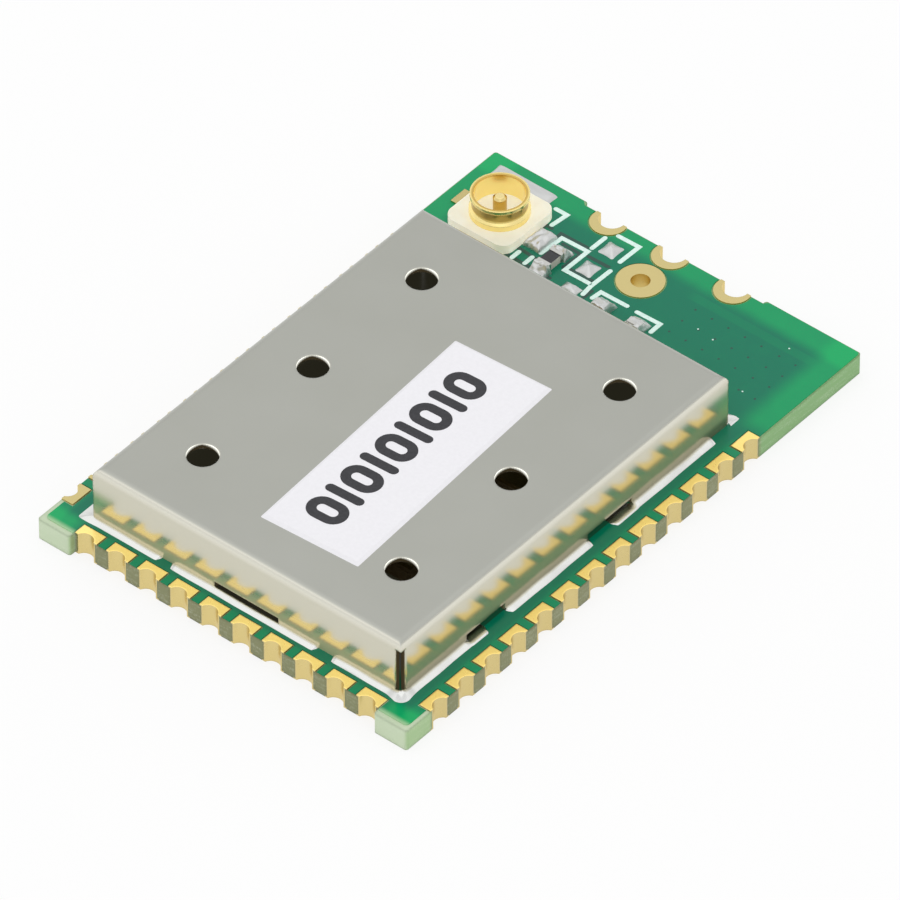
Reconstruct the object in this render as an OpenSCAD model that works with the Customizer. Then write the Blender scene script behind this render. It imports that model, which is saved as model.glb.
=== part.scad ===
// Surface-mount radio module: castellated circuit board, folded shield can, micro coax receptacle.
// Millimetres. Origin at the middle of the board's underside, +Y towards the antenna end, +Z up.

/* [Board] */
// Width of the board across the two long pad rows
board_w = 15; // [13.5:0.1:20]
// Length of the board from the front corner blocks to the antenna edge
board_l = 22.4; // [20:0.1:30]
// Thickness of the laminate
board_t = 0.8; // [0.6:0.1:1.6]
// Rounding of the board's outer corners
corner_r = 0.1; // [0.05:0.05:0.4]
// Set-back of the routed front edge behind its corner blocks
front_setback = 0.25; // [0.1:0.05:0.5]
// Set-back of the routed middle of the antenna edge
antenna_setback = 0.15; // [0.05:0.05:0.3]
// Rounding where a routed edge runs out
route_r = 0.1; // [0.02:0.01:0.15]
// Routed length of the antenna edge past its outer notches
antenna_route_land = 1.1; // [0.9:0.1:2]

/* [Edge pads] */
// Spacing of the edge pads
pad_pitch = 1.27; // [1.1:0.01:1.4]
// Least width of the corner blocks beside the front row, which takes as many pads as fit between them
front_block_w = 1.2; // [1:0.05:2]
// Distance from the front corner line to the first pad of a long edge
side_pad_start = 1.6; // [1.4:0.1:2]
// How far the last pad of a long edge may lie past the line of the can's back wall
side_pad_past = 0.35; // [0:0.05:1]
// Finished diameter of the half holes
half_hole_d = 0.68; // [0.4:0.02:0.8]
// How far the middle of a half hole lies outside the board's edge
half_hole_out = 0.13; // [0:0.01:0.2]
// Copper land beside a half hole
pad_land_side = 0.1; // [0.06:0.01:0.16]
// Copper land behind a half hole
pad_land_back = 0.24; // [0.06:0.01:0.3]
// Thickness of the plated copper
plate_t = 0.05; // [0.03:0.01:0.08]
// Gap between an outermost front pad and the corner block beside it
block_gap = 0.02; // [0.01:0.01:0.2]

/* [Antenna end] */
// Spacing of the half-moon notches on the antenna edge
notch_pitch = 2.54; // [2:0.01:3]
// Number of half-moon notches
notch_count = 3; // [1:1:3]
// Finished diameter of the half-moon notches
notch_d = 0.92; // [0.6:0.02:1.2]
// How much the radius of a half-moon's round land is larger than its notch's
notch_land = 0.17; // [0.14:0.01:0.4]
// Offset of the round land from the notch, into the board
notch_land_in = 0.17; // [0:0.01:0.2]
// Finished diameter of the antenna wire hole
wire_hole_d = 0.64; // [0.5:0.02:0.8]
// Copper ring round the antenna wire hole
wire_hole_land = 0.48; // [0.3:0.02:0.56]
// Distance of the antenna wire hole from the antenna edge
wire_hole_end = 1.84; // [1.6:0.02:2.1]
// Spacing between the empty pads and the antenna wire hole, which is in line with the middle notch
wire_hole_step = 1.63; // [1.5:0.01:2.5]

/* [Shield can] */
// Board left beside the can on the left
can_left_margin = 1.35; // [1.1:0.05:2]
// Board left beside the can on the right
can_right_margin = 1.15; // [1.1:0.05:2]
// Board left in front of the can
can_front_margin = 1.12; // [1.05:0.01:2]
// Height of the can above the board
can_h = 2.1; // [1.6:0.05:3]
// Thickness of the can's sheet
sheet_t = 0.2; // [0.1:0.02:0.24]
// Inner radius of the can's bends
inner_bend_r = 0.08; // [0.04:0.01:0.2]
// Clear gap between the sheets of two walls at an open corner of the can
corner_gap = 0.04; // [0.02:0.01:0.3]
// Height of the closed corner above an open one's slit
corner_closed = 0.26; // [0.2:0.02:0.5]
// Diameter of the vent holes
vent_d = 1.06; // [0.6:0.02:1.6]
// Distance of the vent holes from the can's long walls
vent_inset_side = 2.22; // [1.6:0.02:3]
// Distance of the outer vent holes from the can's end walls
vent_inset_end = 2.68; // [1.6:0.02:3.2]
// Number of vent holes in a row
vent_rows = 3; // [2:1:3]
// Height of the slots at the foot of the walls
slot_h = 0.3; // [0.2:0.02:0.5]
// Length of the slot in each end wall
end_slot_l = 2.6; // [1:0.1:4]
// Length of the first slot in each long wall
side_slot_1_l = 1.85; // [1:0.05:2.4]
// Distance of the first slot's middle from the can's front wall
side_slot_1_at = 4.08; // [3.5:0.01:5]
// Length of the second slot in each long wall
side_slot_2_l = 2.2; // [1:0.05:2.6]
// Distance of the second slot's middle from the can's front wall
side_slot_2_at = 10.15; // [9:0.01:11]

/* [Shield solder] */
// Width of the soldered joint along the can's walls
solder_w = 0.28; // [0.2:0.01:0.32]
// Width of the tinned ground track outside the left wall
left_track_w = 0.48; // [0.32:0.01:0.55]
// Width of the tinned ground track outside the back wall
back_track_w = 0.38; // [0.32:0.01:0.38]
// How far the ends of those two tracks run past the can's corners
track_end = 0.1; // [0.05:0.01:0.2]
// Thickness of the solder at the track's outer edge
solder_t = 0.06; // [0.03:0.01:0.1]
// How much the solder's hollow radius is larger than the track's width
solder_hollow = 0.02; // [0.01:0.01:0.1]
// Distance of the first front gap's middle from the can's left corner
front_gap_1_at = 3.03; // [2:0.01:4]
// Length of the first front gap
front_gap_1_l = 0.41; // [0.2:0.01:1]
// Distance of the second front gap's middle from the can's left corner
front_gap_2_at = 9.47; // [8.4:0.01:10]
// Length of the second front gap
front_gap_2_l = 0.6; // [0.2:0.01:1]
// Distance of the first side gap's middle from the can's front corner
side_gap_1_at = 4.48; // [4:0.01:5]
// Length of the side gaps
side_gap_l = 1; // [0.4:0.05:1.4]
// Distance of the second side gap's middle from the can's front corner
side_gap_2_at = 9.6; // [9:0.01:10.5]
// Distance of the last side gap's middle from the can's back corner
side_gap_3_at = 0.4; // [0.3:0.01:1]
// Length of the last side gap
side_gap_3_l = 0.76; // [0.2:0.01:0.8]

/* [Label] */
// Width of the label
label_w = 3.78; // [2:0.02:4.4]
// Length of the label
label_l = 10.1; // [6:0.1:11]
// Thickness of the label
label_t = 0.08; // [0.05:0.01:0.15]
// Sideways offset of the label from the can's middle
label_x = 0.78; // [-1:0.02:1]
// Lengthways offset of the label from the can's middle
label_y = -1.16; // [-1.5:0.02:1.5]
// Turn of the label out of square, in degrees
label_turn = 3; // [-5:0.5:5]

/* [Coax receptacle] */
// Side of the square moulded base
base_w = 2.6; // [2.4:0.05:3]
// Thickness of the moulded base
base_t = 0.38; // [0.34:0.02:0.5]
// Rounding of the base's corners
base_r = 0.42; // [0.2:0.02:0.6]
// Gap between the base and the board's left edge
base_left_gap = 0.9; // [0.7:0.05:1.2]
// Gap between the base and the board's antenna edge
base_end_gap = 1.14; // [1:0.02:1.5]
// Gap between the base and the can's back wall
base_can_gap = 1.54; // [1.3:0.02:3]
// Radius of the ring's collar above the base
collar_r = 1; // [0.98:0.01:1.1]
// Height of the collar
collar_h = 0.2; // [0.1:0.02:0.24]
// Radius of the ring's rim
rim_r = 0.97; // [0.94:0.01:1.05]
// Height of the rim's outer land
rim_h = 0.12; // [0.06:0.01:0.2]
// Radius of the snap groove between collar and rim
groove_r = 0.91; // [0.89:0.01:0.93]
// Rise of the slopes into the snap groove
groove_slope = 0.08; // [0.04:0.01:0.1]
// Height of the ring above the base
ring_h = 0.8; // [0.7:0.02:1.2]
// Radius of the ring's bore
ring_bore_r = 0.85; // [0.7:0.01:0.87]
// Depth to which the ring is moulded into the base
ring_root = 0.16; // [0.12:0.01:0.18]
// Plastic left above the ground arms
arm_cover = 0.05; // [0.02:0.01:0.06]
// Plastic left outside the upright part of a leg
leg_cover = 0.1; // [0.04:0.01:0.14]
// Thickness of the stamped legs and feet
leg_t = 0.1; // [0.06:0.01:0.11]
// Width of the two ground legs
ground_leg_w = 1.2; // [0.6:0.05:1.4]
// Width of the stub opposite the signal leg
stub_w = 0.7; // [0.4:0.05:1]
// Reach of the feet outside the base
foot_l = 0.44; // [0.2:0.02:0.5]
// Diameter of the centre pin
pin_d = 0.46; // [0.36:0.02:0.6]
// Height of the centre pin above the base
pin_h = 0.66; // [0.4:0.02:0.76]
// Chamfer of the centre pin's tip
pin_chamfer = 0.08; // [0.02:0.01:0.12]
// Width of the signal leg
signal_leg_w = 0.5; // [0.3:0.05:0.8]
// Length of the solder on the signal foot
signal_solder_l = 1; // [0.8:0.05:1.2]
// Length of the solder on a ground foot
ground_solder_l = 2.5; // [1.6:0.05:2.6]
// Offset of the ground solder from the receptacle's middle, towards the board's left edge
ground_solder_shift = 0.45; // [0:0.01:0.5]
// Reach of the solder past the feet's tips
foot_solder_land = 0.28; // [0.1:0.02:0.34]
// Height of the solder over the feet
foot_solder_h = 0.2; // [0.15:0.01:0.26]

/* [Chip parts] */
// Length of a chip resistor, capacitor or inductor
chip_l = 1; // [0.9:0.02:1.1]
// Width of such a chip
chip_w = 0.5; // [0.4:0.02:0.56]
// Height of such a chip
chip_h = 0.35; // [0.25:0.01:0.55]
// Length of a chip's metal end cap
cap_l = 0.25; // [0.15:0.01:0.3]
// Thickness of a chip's metal end cap
cap_t = 0.03; // [0.02:0.005:0.05]
// Length of the solder fillet at a chip's end
fillet_l = 0.26; // [0.1:0.02:0.3]
// Gap between the receptacle base and the series resistor
resistor_base_gap = 1.02; // [0.9:0.02:1.2]
// Offset of the series resistor from the receptacle's middle, towards the can
resistor_back = 0.6; // [0.4:0.02:0.7]
// Spacing between the series resistor and the empty pads
empty_pad_step = 1.1; // [1:0.02:1.2]
// Length of the solder on an empty pad
empty_pad_l = 0.68; // [0.4:0.02:0.7]
// Width of the solder on an empty pad
empty_pad_w = 0.6; // [0.4:0.02:0.6]
// Spacing of the two empty pads
empty_pad_pitch = 1.15; // [1:0.02:1.2]
// Offset of the first empty pad from the series resistor, towards the antenna edge
empty_pad_ahead = 0.57; // [0.4:0.02:0.6]
// Height of the solder on an empty pad
empty_pad_h = 0.14; // [0.05:0.01:0.2]
// Gap between the can's back wall and the two matching chips
matching_gap = 0.7; // [0.64:0.02:0.9]
// Offset of the matching capacitor from the antenna wire hole, to the left
matching_left = 0.1; // [-0.2:0.02:0.4]
// Spacing between the matching capacitor and the matching inductor
matching_step = 1.4; // [1:0.02:1.8]

/* [Parts under the can] */
// Side of the controller chip
controller_w = 5; // [4:0.1:5.6]
// Leads on each side of the controller chip
controller_lead_count = 8; // [4:1:8]
// Side of the transceiver chip
transceiver_w = 4; // [3.2:0.1:4.6]
// Leads on each side of the transceiver chip
transceiver_lead_count = 5; // [3:1:5]
// Height of the two chips
package_h = 0.9; // [0.7:0.05:1.1]
// Spacing of the chips' leads
lead_pitch = 0.5; // [0.4:0.01:0.52]
// Width of a lead
lead_w = 0.24; // [0.15:0.01:0.3]
// Length of a lead
lead_l = 0.4; // [0.25:0.01:0.5]
// Thickness of the lead frame
lead_t = 0.2; // [0.1:0.01:0.25]
// Gap between the leads and the chip's die pad
die_pad_gap = 0.35; // [0.2:0.01:0.5]
// Diameter of the dimple that marks a chip's first lead
dimple_d = 0.5; // [0.3:0.02:0.6]
// Depth of that dimple
dimple_depth = 0.05; // [0.03:0.01:0.1]
// Distance of that dimple's middle from the chip's two nearest sides
dimple_inset = 1; // [0.5:0.05:1.2]
// Gap between the two chips
package_gap = 1.7; // [1.6:0.05:2.2]
// Offset of the two chips from the can's middle, to the left
package_left = 1; // [0.6:0.05:1.2]
// Clear gap between neighbouring parts
part_gap = 0.35; // [0.25:0.01:0.45]
// Width of the radio crystal
radio_crystal_w = 2.5; // [2:0.1:2.8]
// Length of the radio crystal
radio_crystal_l = 3.2; // [2.5:0.1:3.4]
// Width of the clock crystal
clock_crystal_w = 1.5; // [1.2:0.1:1.8]
// Length of the clock crystal
clock_crystal_l = 3.2; // [2.5:0.1:3.6]
// Height of a crystal's ceramic case
crystal_case_h = 0.52; // [0.4:0.02:0.7]
// Height of a crystal's metal lid
crystal_lid_h = 0.18; // [0.1:0.01:0.25]
// Rim of the ceramic case left round a lid
crystal_rim = 0.15; // [0.08:0.01:0.25]
// Width of the harmonic filter
filter_w = 1.25; // [0.8:0.05:1.4]
// Length of the harmonic filter
filter_l = 2; // [1.6:0.05:2.2]
// Height of the harmonic filter
filter_h = 0.8; // [0.5:0.05:1]
// Number of decoupling capacitors between the two chips
decoupling_count = 4; // [1:1:4]
// Number of capacitors beside the controller chip
reservoir_count = 3; // [1:1:3]

/* [Hidden] */
$fn = 48;
// How far a cutting shape runs past the face that it cuts
over = 0.2;

half_hole_r = half_hole_d / 2;
pad_w = half_hole_d + 2 * pad_land_side;
pad_d = half_hole_r - half_hole_out + pad_land_back;
front_edge_y = -board_l / 2 + front_setback;
front_pad_count = 1 + floor((board_w - 2 * (front_block_w + block_gap) - pad_w) / pad_pitch);
front_route_w = (front_pad_count - 1) * pad_pitch + pad_w + 2 * block_gap;
antenna_edge_y = board_l / 2 - antenna_setback;
antenna_route_w = (notch_count - 1) * notch_pitch + 2 * antenna_route_land;
notch_ring_r = notch_d / 2 + notch_land;
wire_ring_r = wire_hole_d / 2 + wire_hole_land;
wire_hole_y = board_l / 2 - wire_hole_end;

base_y = board_l / 2 - base_end_gap - base_w / 2;
base_x = -board_w / 2 + base_left_gap + base_w / 2;

can_x0 = -board_w / 2 + can_left_margin;
can_x1 = board_w / 2 - can_right_margin;
can_y0 = -board_l / 2 + can_front_margin;
can_y1 = base_y - base_w / 2 - base_can_gap;
side_pad_y0 = -board_l / 2 + side_pad_start;
side_pad_count = 1 + floor((can_y1 + side_pad_past - side_pad_y0) / pad_pitch);
can_w = can_x1 - can_x0;
can_l = can_y1 - can_y0;
can_x = (can_x0 + can_x1) / 2;
can_y = (can_y0 + can_y1) / 2;
bend_r = inner_bend_r + sheet_t;
corner_slit = sheet_t + corner_gap;
// Corners of the can that are open, as [side, end]; the sheet closes the other two
open_corners = [[1, -1], [-1, 1]];
vent_half_x = can_w / 2 - vent_inset_side;
vent_half_y = can_l / 2 - vent_inset_end;
vent_step = 2 * vent_half_y / (vent_rows - 1);

arm_z = base_t - ring_root;
arm_t = ring_root - arm_cover;
resistor_x = base_x + base_w / 2 + resistor_base_gap + chip_w / 2;
resistor_y = base_y - resistor_back;
empty_pad_x = resistor_x + empty_pad_step;
antenna_x = empty_pad_x + wire_hole_step;
matching_x = antenna_x - matching_left;
matching_y = can_y1 + matching_gap + chip_l / 2;

package_x = can_x - package_left;
controller_y = can_y - (package_gap + controller_w) / 2;
transceiver_y = can_y + (package_gap + transceiver_w) / 2;
controller_right = package_x + controller_w / 2;
transceiver_right = package_x + transceiver_w / 2;
transceiver_left = package_x - transceiver_w / 2;
transceiver_front = transceiver_y - transceiver_w / 2;
transceiver_back = transceiver_y + transceiver_w / 2;
radio_crystal_x = transceiver_right + part_gap + radio_crystal_w / 2;
radio_crystal_y = transceiver_front + radio_crystal_l / 2;
clock_crystal_x = controller_right + part_gap + clock_crystal_w / 2;
clock_crystal_y = controller_y + controller_w / 2 - clock_crystal_l / 2;
filter_x = transceiver_left - part_gap - filter_w / 2;
filter_y = transceiver_back - filter_l / 2;
chip_step = chip_w + part_gap;
chip_run = chip_l + part_gap;

// Places of the chips under the can, as [x, y, turn]: a turn of 0 puts the chip's length along Y
decoupling_places = [
    for (i = [0 : decoupling_count - 1])
        [package_x + (i - (decoupling_count - 1) / 2) * chip_step, can_y, 0]
];
reservoir_places = [
    for (i = [0 : reservoir_count - 1])
        [package_x - controller_w / 2 - part_gap - chip_w / 2,
         controller_y + (i - (reservoir_count - 1) / 2) * chip_run, 0]
];
load_places = [
    for (side = [-1, 1])
        [radio_crystal_x + side * chip_run / 2,
         radio_crystal_y + radio_crystal_l / 2 + part_gap + chip_w / 2, 90]
];
capacitor_places = concat(decoupling_places, reservoir_places, load_places);
balun_places = concat(
    [for (i = [0, 1])
        [transceiver_left - part_gap - chip_w / 2,
         filter_y - filter_l / 2 - part_gap - chip_l / 2 - i * chip_run, 0]],
    [for (side = [-1, 1])
        [package_x + side * chip_run / 2, transceiver_back + part_gap + chip_w / 2, 90]]
);
bias_places = [
    for (i = [0, 1])
        [clock_crystal_x + clock_crystal_w / 2 + part_gap + chip_w / 2,
         clock_crystal_y + (i - 0.5) * chip_run, 0]
];
inner_chip_places = concat(capacitor_places, balun_places, bias_places);

// Places of the chips at the antenna end
resistor_place = [resistor_x, resistor_y, 0];
matching_capacitor_place = [matching_x, matching_y, 0];
matching_inductor_place = [matching_x + matching_step, matching_y, 0];
outer_chip_places = [resistor_place, matching_capacitor_place, matching_inductor_place];

// Colours of the materials
mask_green = "#2d8060";
edge_gold = "#dcbc6c";
ring_gold = "#cdbe82";
tin_plate = "#aeafa8";
solder_silver = "#d9dcdc";
label_white = "#f0eef0";
ivory = "#e4e2d2";
contact_gold = "#e6c86e";
resistor_black = "#3a3a38";
capacitor_tan = "#b08a5c";
inductor_grey = "#c9c4b4";
lead_tin = "#cfcfcb";
package_black = "#2b2b2d";
crystal_brown = "#8c7a5c";
crystal_lid_gold = "#d8cfa8";
filter_blue = "#7f97a8";

// Rectangle with round corners, about the origin
module rounded_rectangle(w, l, r) {
    square([w - 2 * r, l], center = true);
    square([w, l - 2 * r], center = true);
    for (x = [-1, 1], y = [-1, 1])
        translate([x * (w / 2 - r), y * (l / 2 - r)])
            circle(r);
}

// Puts its children on each pad place of one edge, with +Y of the child pointing into the board
module on_front_pads() {
    for (i = [0 : front_pad_count - 1])
        translate([(i - (front_pad_count - 1) / 2) * pad_pitch, front_edge_y])
            children();
}

module on_side_pads(side) {
    for (i = [0 : side_pad_count - 1])
        translate([side * board_w / 2, side_pad_y0 + i * pad_pitch])
            rotate(side * 90)
                children();
}

module on_antenna_edge() {
    for (i = [0 : notch_count - 1])
        translate([antenna_x + (i - (notch_count - 1) / 2) * notch_pitch, antenna_edge_y])
            rotate(180)
                children();
}

module on_wire_hole() {
    translate([antenna_x, wire_hole_y])
        children();
}

// Cut that moves an edge along X back by s: straight over w, with a round run-out at each end
module routed_edge(w, s) {
    r = min(route_r, s);
    translate([-w / 2, -over])
        square([w, s + over]);
    for (side = [0, 1])
        mirror([side, 0])
            translate([w / 2, 0])
                difference() {
                    translate([0, -over])
                        square([r, r + over]);
                    translate([r, r])
                        circle(r);
                }
}

// Round land of a half-moon notch
module notch_round_land() {
    translate([0, notch_land_in])
        circle(notch_ring_r);
}

// The half plane on the board's side of an edge
module board_side() {
    translate([-board_w / 2, 0])
        square([board_w, board_l]);
}

// Copper land of a castellated pad; past is how far it runs over the edge
module pad_land(past = 0) {
    translate([-pad_w / 2, -past])
        square([pad_w, pad_d + past]);
}

// Plated hole: a barrel through the board and a land on each face, whose outline is the child;
// out is how far the hole's middle lies outside the edge
module plated_hole(r, out = 0) {
    linear_extrude(board_t + plate_t)
        translate([0, -out])
            difference() {
                circle(r + plate_t);
                circle(r);
            }
    for (z = [0, board_t])
        translate([0, 0, z])
            linear_extrude(plate_t)
                difference() {
                    children();
                    translate([0, -out])
                        circle(r);
                }
}

// Plated hole that the board's edge cuts in half
module plated_half_hole(r, out = 0) {
    intersection() {
        plated_hole(r, out)
            children();
        translate([0, 0, -over])
            linear_extrude(board_t + plate_t + 2 * over)
                board_side();
    }
}

// Room that a half hole and its plating take in the laminate
module half_hole_cut() {
    translate([0, -half_hole_out])
        circle(half_hole_r + plate_t);
}

module board() {
    color(mask_green)
        difference() {
            linear_extrude(board_t)
                difference() {
                    rounded_rectangle(board_w, board_l, corner_r);
                    translate([0, -board_l / 2])
                        routed_edge(front_route_w, front_setback);
                    translate([antenna_x, board_l / 2])
                        rotate(180)
                            routed_edge(antenna_route_w, antenna_setback);
                    on_front_pads()
                        half_hole_cut();
                    for (side = [-1, 1])
                        on_side_pads(side)
                            half_hole_cut();
                    on_antenna_edge()
                        circle(notch_d / 2 + plate_t);
                    on_wire_hole()
                        circle(wire_hole_d / 2 + plate_t);
                }
            // Recesses that let the lower lands lie flush with the underside
            translate([0, 0, -over])
                linear_extrude(plate_t + over) {
                    on_front_pads()
                        pad_land(over / 2);
                    for (side = [-1, 1])
                        on_side_pads(side)
                            pad_land(over / 2);
                    on_antenna_edge()
                        notch_round_land();
                    on_wire_hole()
                        circle(wire_ring_r);
                }
        }
}

module front_pads() {
    color(edge_gold)
        on_front_pads()
            plated_half_hole(half_hole_r, half_hole_out)
                pad_land();
}

module left_pads() {
    color(edge_gold)
        on_side_pads(-1)
            plated_half_hole(half_hole_r, half_hole_out)
                pad_land();
}

module right_pads() {
    color(edge_gold)
        on_side_pads(1)
            plated_half_hole(half_hole_r, half_hole_out)
                pad_land();
}

module antenna_edge_pads() {
    color(ring_gold)
        on_antenna_edge()
            plated_half_hole(notch_d / 2)
                notch_round_land();
}

module antenna_hole_ring() {
    color(ring_gold)
        on_wire_hole()
            plated_hole(wire_hole_d / 2)
                circle(wire_ring_r);
}

// Outline of a folded sheet seen along its fold: upright sides, round upper corners, foot at below
module folded_outline(w, h, r, below = 0) {
    translate([-w / 2, -below])
        square([w, h - r + below]);
    translate([-w / 2 + r, 0])
        square([w - 2 * r, h]);
    for (side = [-1, 1])
        translate([side * (w / 2 - r), h - r])
            circle(r);
}

// Box whose four upper edges are bends of one radius
module folded_block(w, l, h, r, below = 0) {
    intersection() {
        rotate([90, 0, 0])
            linear_extrude(l, center = true)
                folded_outline(w, h, r, below);
        rotate([90, 0, 90])
            linear_extrude(w, center = true)
                folded_outline(l, h, r, below);
    }
}

// Cuts at the foot of the walls, as boxes that run through wall and solder
module foot_slots() {
    reach = sheet_t + solder_w + over;
    for (side = [-1, 1]) {
        translate([0, side * can_l / 2, slot_h / 2 - over / 2])
            cube([end_slot_l, 2 * reach, slot_h + over], center = true);
        for (slot = [[side_slot_1_at, side_slot_1_l], [side_slot_2_at, side_slot_2_l]])
            translate([side * can_w / 2, -can_l / 2 + slot[0], slot_h / 2 - over / 2])
                cube([2 * reach, slot[1], slot_h + over], center = true);
    }
}

module shield_can() {
    color(tin_plate)
        translate([can_x, can_y, board_t])
            difference() {
                folded_block(can_w, can_l, can_h, bend_r);
                folded_block(can_w - 2 * sheet_t, can_l - 2 * sheet_t, can_h - sheet_t,
                             inner_bend_r, over);
                for (x = [-1, 1], row = [0 : vent_rows - 1])
                    translate([x * vent_half_x, -vent_half_y + row * vent_step, can_h - sheet_t - over])
                        cylinder(d = vent_d, h = sheet_t + 2 * over);
                for (corner = open_corners)
                    translate([corner[0] * can_w / 2, corner[1] * can_l / 2, -over])
                        linear_extrude(can_h - corner_closed + over)
                            square(2 * corner_slit, center = true);
                foot_slots();
            }
}

// Section of a soldered joint: the wall is at x = 0, the board at y = 0, the face between them is hollow
module solder_section(w, t) {
    r = w + solder_hollow;
    difference() {
        square([w, t + r]);
        translate([w, t + r])
            circle(r);
    }
}

// Soldered joint along one wall, from the origin along +Y, with the wall on the left
module solder_run(l, w, t) {
    translate([0, l, 0])
        rotate([90, 0, 0])
            linear_extrude(l)
                solder_section(w, t);
}

// Gap in the soldered joint of a wall that runs along +Y
module solder_gap(at, l) {
    translate([-over / 2, at - l / 2, -over])
        cube([solder_w + over, l, can_h]);
}

module side_solder() {
    difference() {
        solder_run(can_l, solder_w, solder_t);
        solder_gap(side_gap_1_at, side_gap_l);
        solder_gap(side_gap_2_at, side_gap_l);
        solder_gap(can_l - side_gap_3_at, side_gap_3_l);
    }
}

module end_solder() {
    difference() {
        solder_run(can_w, solder_w, solder_t);
        solder_gap(front_gap_1_at, front_gap_1_l);
        solder_gap(front_gap_2_at, front_gap_2_l);
    }
}

module corner_solder() {
    rotate_extrude(angle = 90)
        solder_section(solder_w, solder_t);
}

// Flat tinned tracks outside the left and back walls
module wide_tracks() {
    translate([-can_w / 2 - left_track_w, -can_l / 2 - track_end, 0])
        cube([left_track_w, can_l + track_end + back_track_w, solder_t]);
    translate([-can_w / 2 - left_track_w, can_l / 2, 0])
        cube([left_track_w + can_w + track_end, back_track_w, solder_t]);
}

// Solder under a foot slot stays flat, because no wall rises there
module shield_solder() {
    color(solder_silver)
        translate([can_x, can_y, board_t])
            difference() {
                union() {
                    translate([can_w / 2, -can_l / 2, 0])
                        side_solder();
                    mirror([1, 0, 0])
                        translate([can_w / 2, -can_l / 2, 0])
                            side_solder();
                    translate([-can_w / 2, -can_l / 2, 0])
                        rotate(-90)
                            end_solder();
                    mirror([0, 1, 0])
                        translate([-can_w / 2, -can_l / 2, 0])
                            rotate(-90)
                                end_solder();
                    for (x = [0, 1], y = [0, 1])
                        mirror([x, 0, 0])
                            mirror([0, y, 0])
                                translate([can_w / 2, can_l / 2, 0])
                                    corner_solder();
                    wide_tracks();
                }
                translate([0, 0, solder_t + over])
                    foot_slots();
            }
}

module label() {
    color(label_white)
        translate([can_x + label_x, can_y + label_y, board_t + can_h])
            rotate(label_turn)
                linear_extrude(label_t)
                    square([label_w, label_l], center = true);
}

// Stamped leg along +X: arm and upright inside the base, foot on the board
module stamped_leg(w, from) {
    upright = base_w / 2 - leg_cover - leg_t;
    translate([from, -w / 2, arm_z])
        cube([upright + leg_t - from, w, arm_t]);
    translate([upright, -w / 2, 0])
        cube([leg_t, w, arm_z + arm_t]);
    translate([upright, -w / 2, 0])
        cube([leg_t + leg_cover + foot_l, w, leg_t]);
}

// Section of the ring: bore, moulded-in root, collar, snap groove and rim
module ring_section() {
    polygon([
        [ring_bore_r, -ring_root],
        [groove_r, -ring_root],
        [groove_r, 0],
        [collar_r, 0],
        [collar_r, collar_h],
        [groove_r, collar_h + groove_slope],
        [groove_r, ring_h - rim_h - groove_slope],
        [rim_r, ring_h - rim_h],
        [rim_r, ring_h],
        [ring_bore_r, ring_h]
    ]);
}

module coax_metal_ring() {
    translate([0, 0, base_t])
        rotate_extrude()
            ring_section();
    for (turn = [90, -90])
        rotate(turn)
            stamped_leg(ground_leg_w, (ring_bore_r + groove_r) / 2);
    rotate(180)
        stamped_leg(stub_w, (ring_bore_r + groove_r) / 2);
}

module coax_metal_pin() {
    tip_z = base_t + pin_h;
    rotate_extrude()
        polygon([
            [0, 0],
            [pin_d / 2, 0],
            [pin_d / 2, tip_z - pin_chamfer],
            [pin_d / 2 - pin_chamfer, tip_z],
            [0, tip_z]
        ]);
    translate([0, -signal_leg_w / 2, 0])
        cube([base_w / 2 + foot_l, signal_leg_w, leg_t]);
}

module at_coax() {
    translate([base_x, base_y, board_t])
        children();
}

module coax_base() {
    color(ivory)
        at_coax()
            difference() {
                linear_extrude(base_t)
                    rounded_rectangle(base_w, base_w, base_r);
                coax_metal_ring();
                coax_metal_pin();
            }
}

module coax_shell() {
    color(contact_gold)
        at_coax()
            coax_metal_ring();
}

module coax_pin() {
    color(contact_gold)
        at_coax()
            coax_metal_pin();
}

// Radius of the arc that rises h over a chord
function arc_radius(chord, h) = (chord * chord / 4 + h * h) / (2 * h);

// Mound of solder on a rectangular pad: two crossed arcs over the pad's middle
module solder_mound(l, w, h) {
    intersection() {
        translate([0, 0, h / 2])
            cube([l, w, h], center = true);
        translate([0, 0, h - arc_radius(w, h)])
            rotate([0, 90, 0])
                cylinder(r = arc_radius(w, h), h = l, center = true);
        translate([0, 0, h - arc_radius(l, h)])
            rotate([90, 0, 0])
                cylinder(r = arc_radius(l, h), h = w, center = true);
    }
}

// Mound outside one side of the base, on the foot that points along +X
module foot_mound(w, shift = 0) {
    l = foot_l + foot_solder_land;
    translate([(base_w + l) / 2, shift, 0])
        solder_mound(l, w, foot_solder_h);
}

module coax_solder() {
    color(solder_silver)
        at_coax()
            difference() {
                union() {
                    foot_mound(signal_solder_l);
                    for (side = [-1, 1])
                        rotate(side * 90)
                            foot_mound(ground_solder_l, side * ground_solder_shift);
                }
                coax_metal_ring();
                coax_metal_pin();
            }
}

module at_place(place) {
    translate([place[0], place[1], board_t])
        rotate(place[2])
            children();
}

// Ceramic body of a chip, held inside its two end caps
module chip_body() {
    translate([0, 0, chip_h / 2])
        cube([chip_w - 2 * cap_t, chip_l - 2 * cap_t, chip_h - 2 * cap_t], center = true);
}

// The two end caps of a chip
module chip_caps() {
    difference() {
        for (end = [-1, 1])
            translate([0, end * (chip_l - cap_l) / 2, chip_h / 2])
                cube([chip_w, cap_l, chip_h], center = true);
        chip_body();
    }
}

// Solder fillets at the two ends of a chip
module chip_fillets() {
    for (turn = [0, 180])
        rotate(turn)
            translate([chip_w / 2, chip_l / 2, 0])
                rotate(90)
                    solder_run(chip_w, fillet_l, solder_t);
}

module chips_at(places) {
    for (place = places)
        at_place(place)
            chip_body();
}

module series_resistor() {
    color(resistor_black)
        chips_at([resistor_place]);
}

module matching_capacitor() {
    color(capacitor_tan)
        chips_at([matching_capacitor_place]);
}

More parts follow.
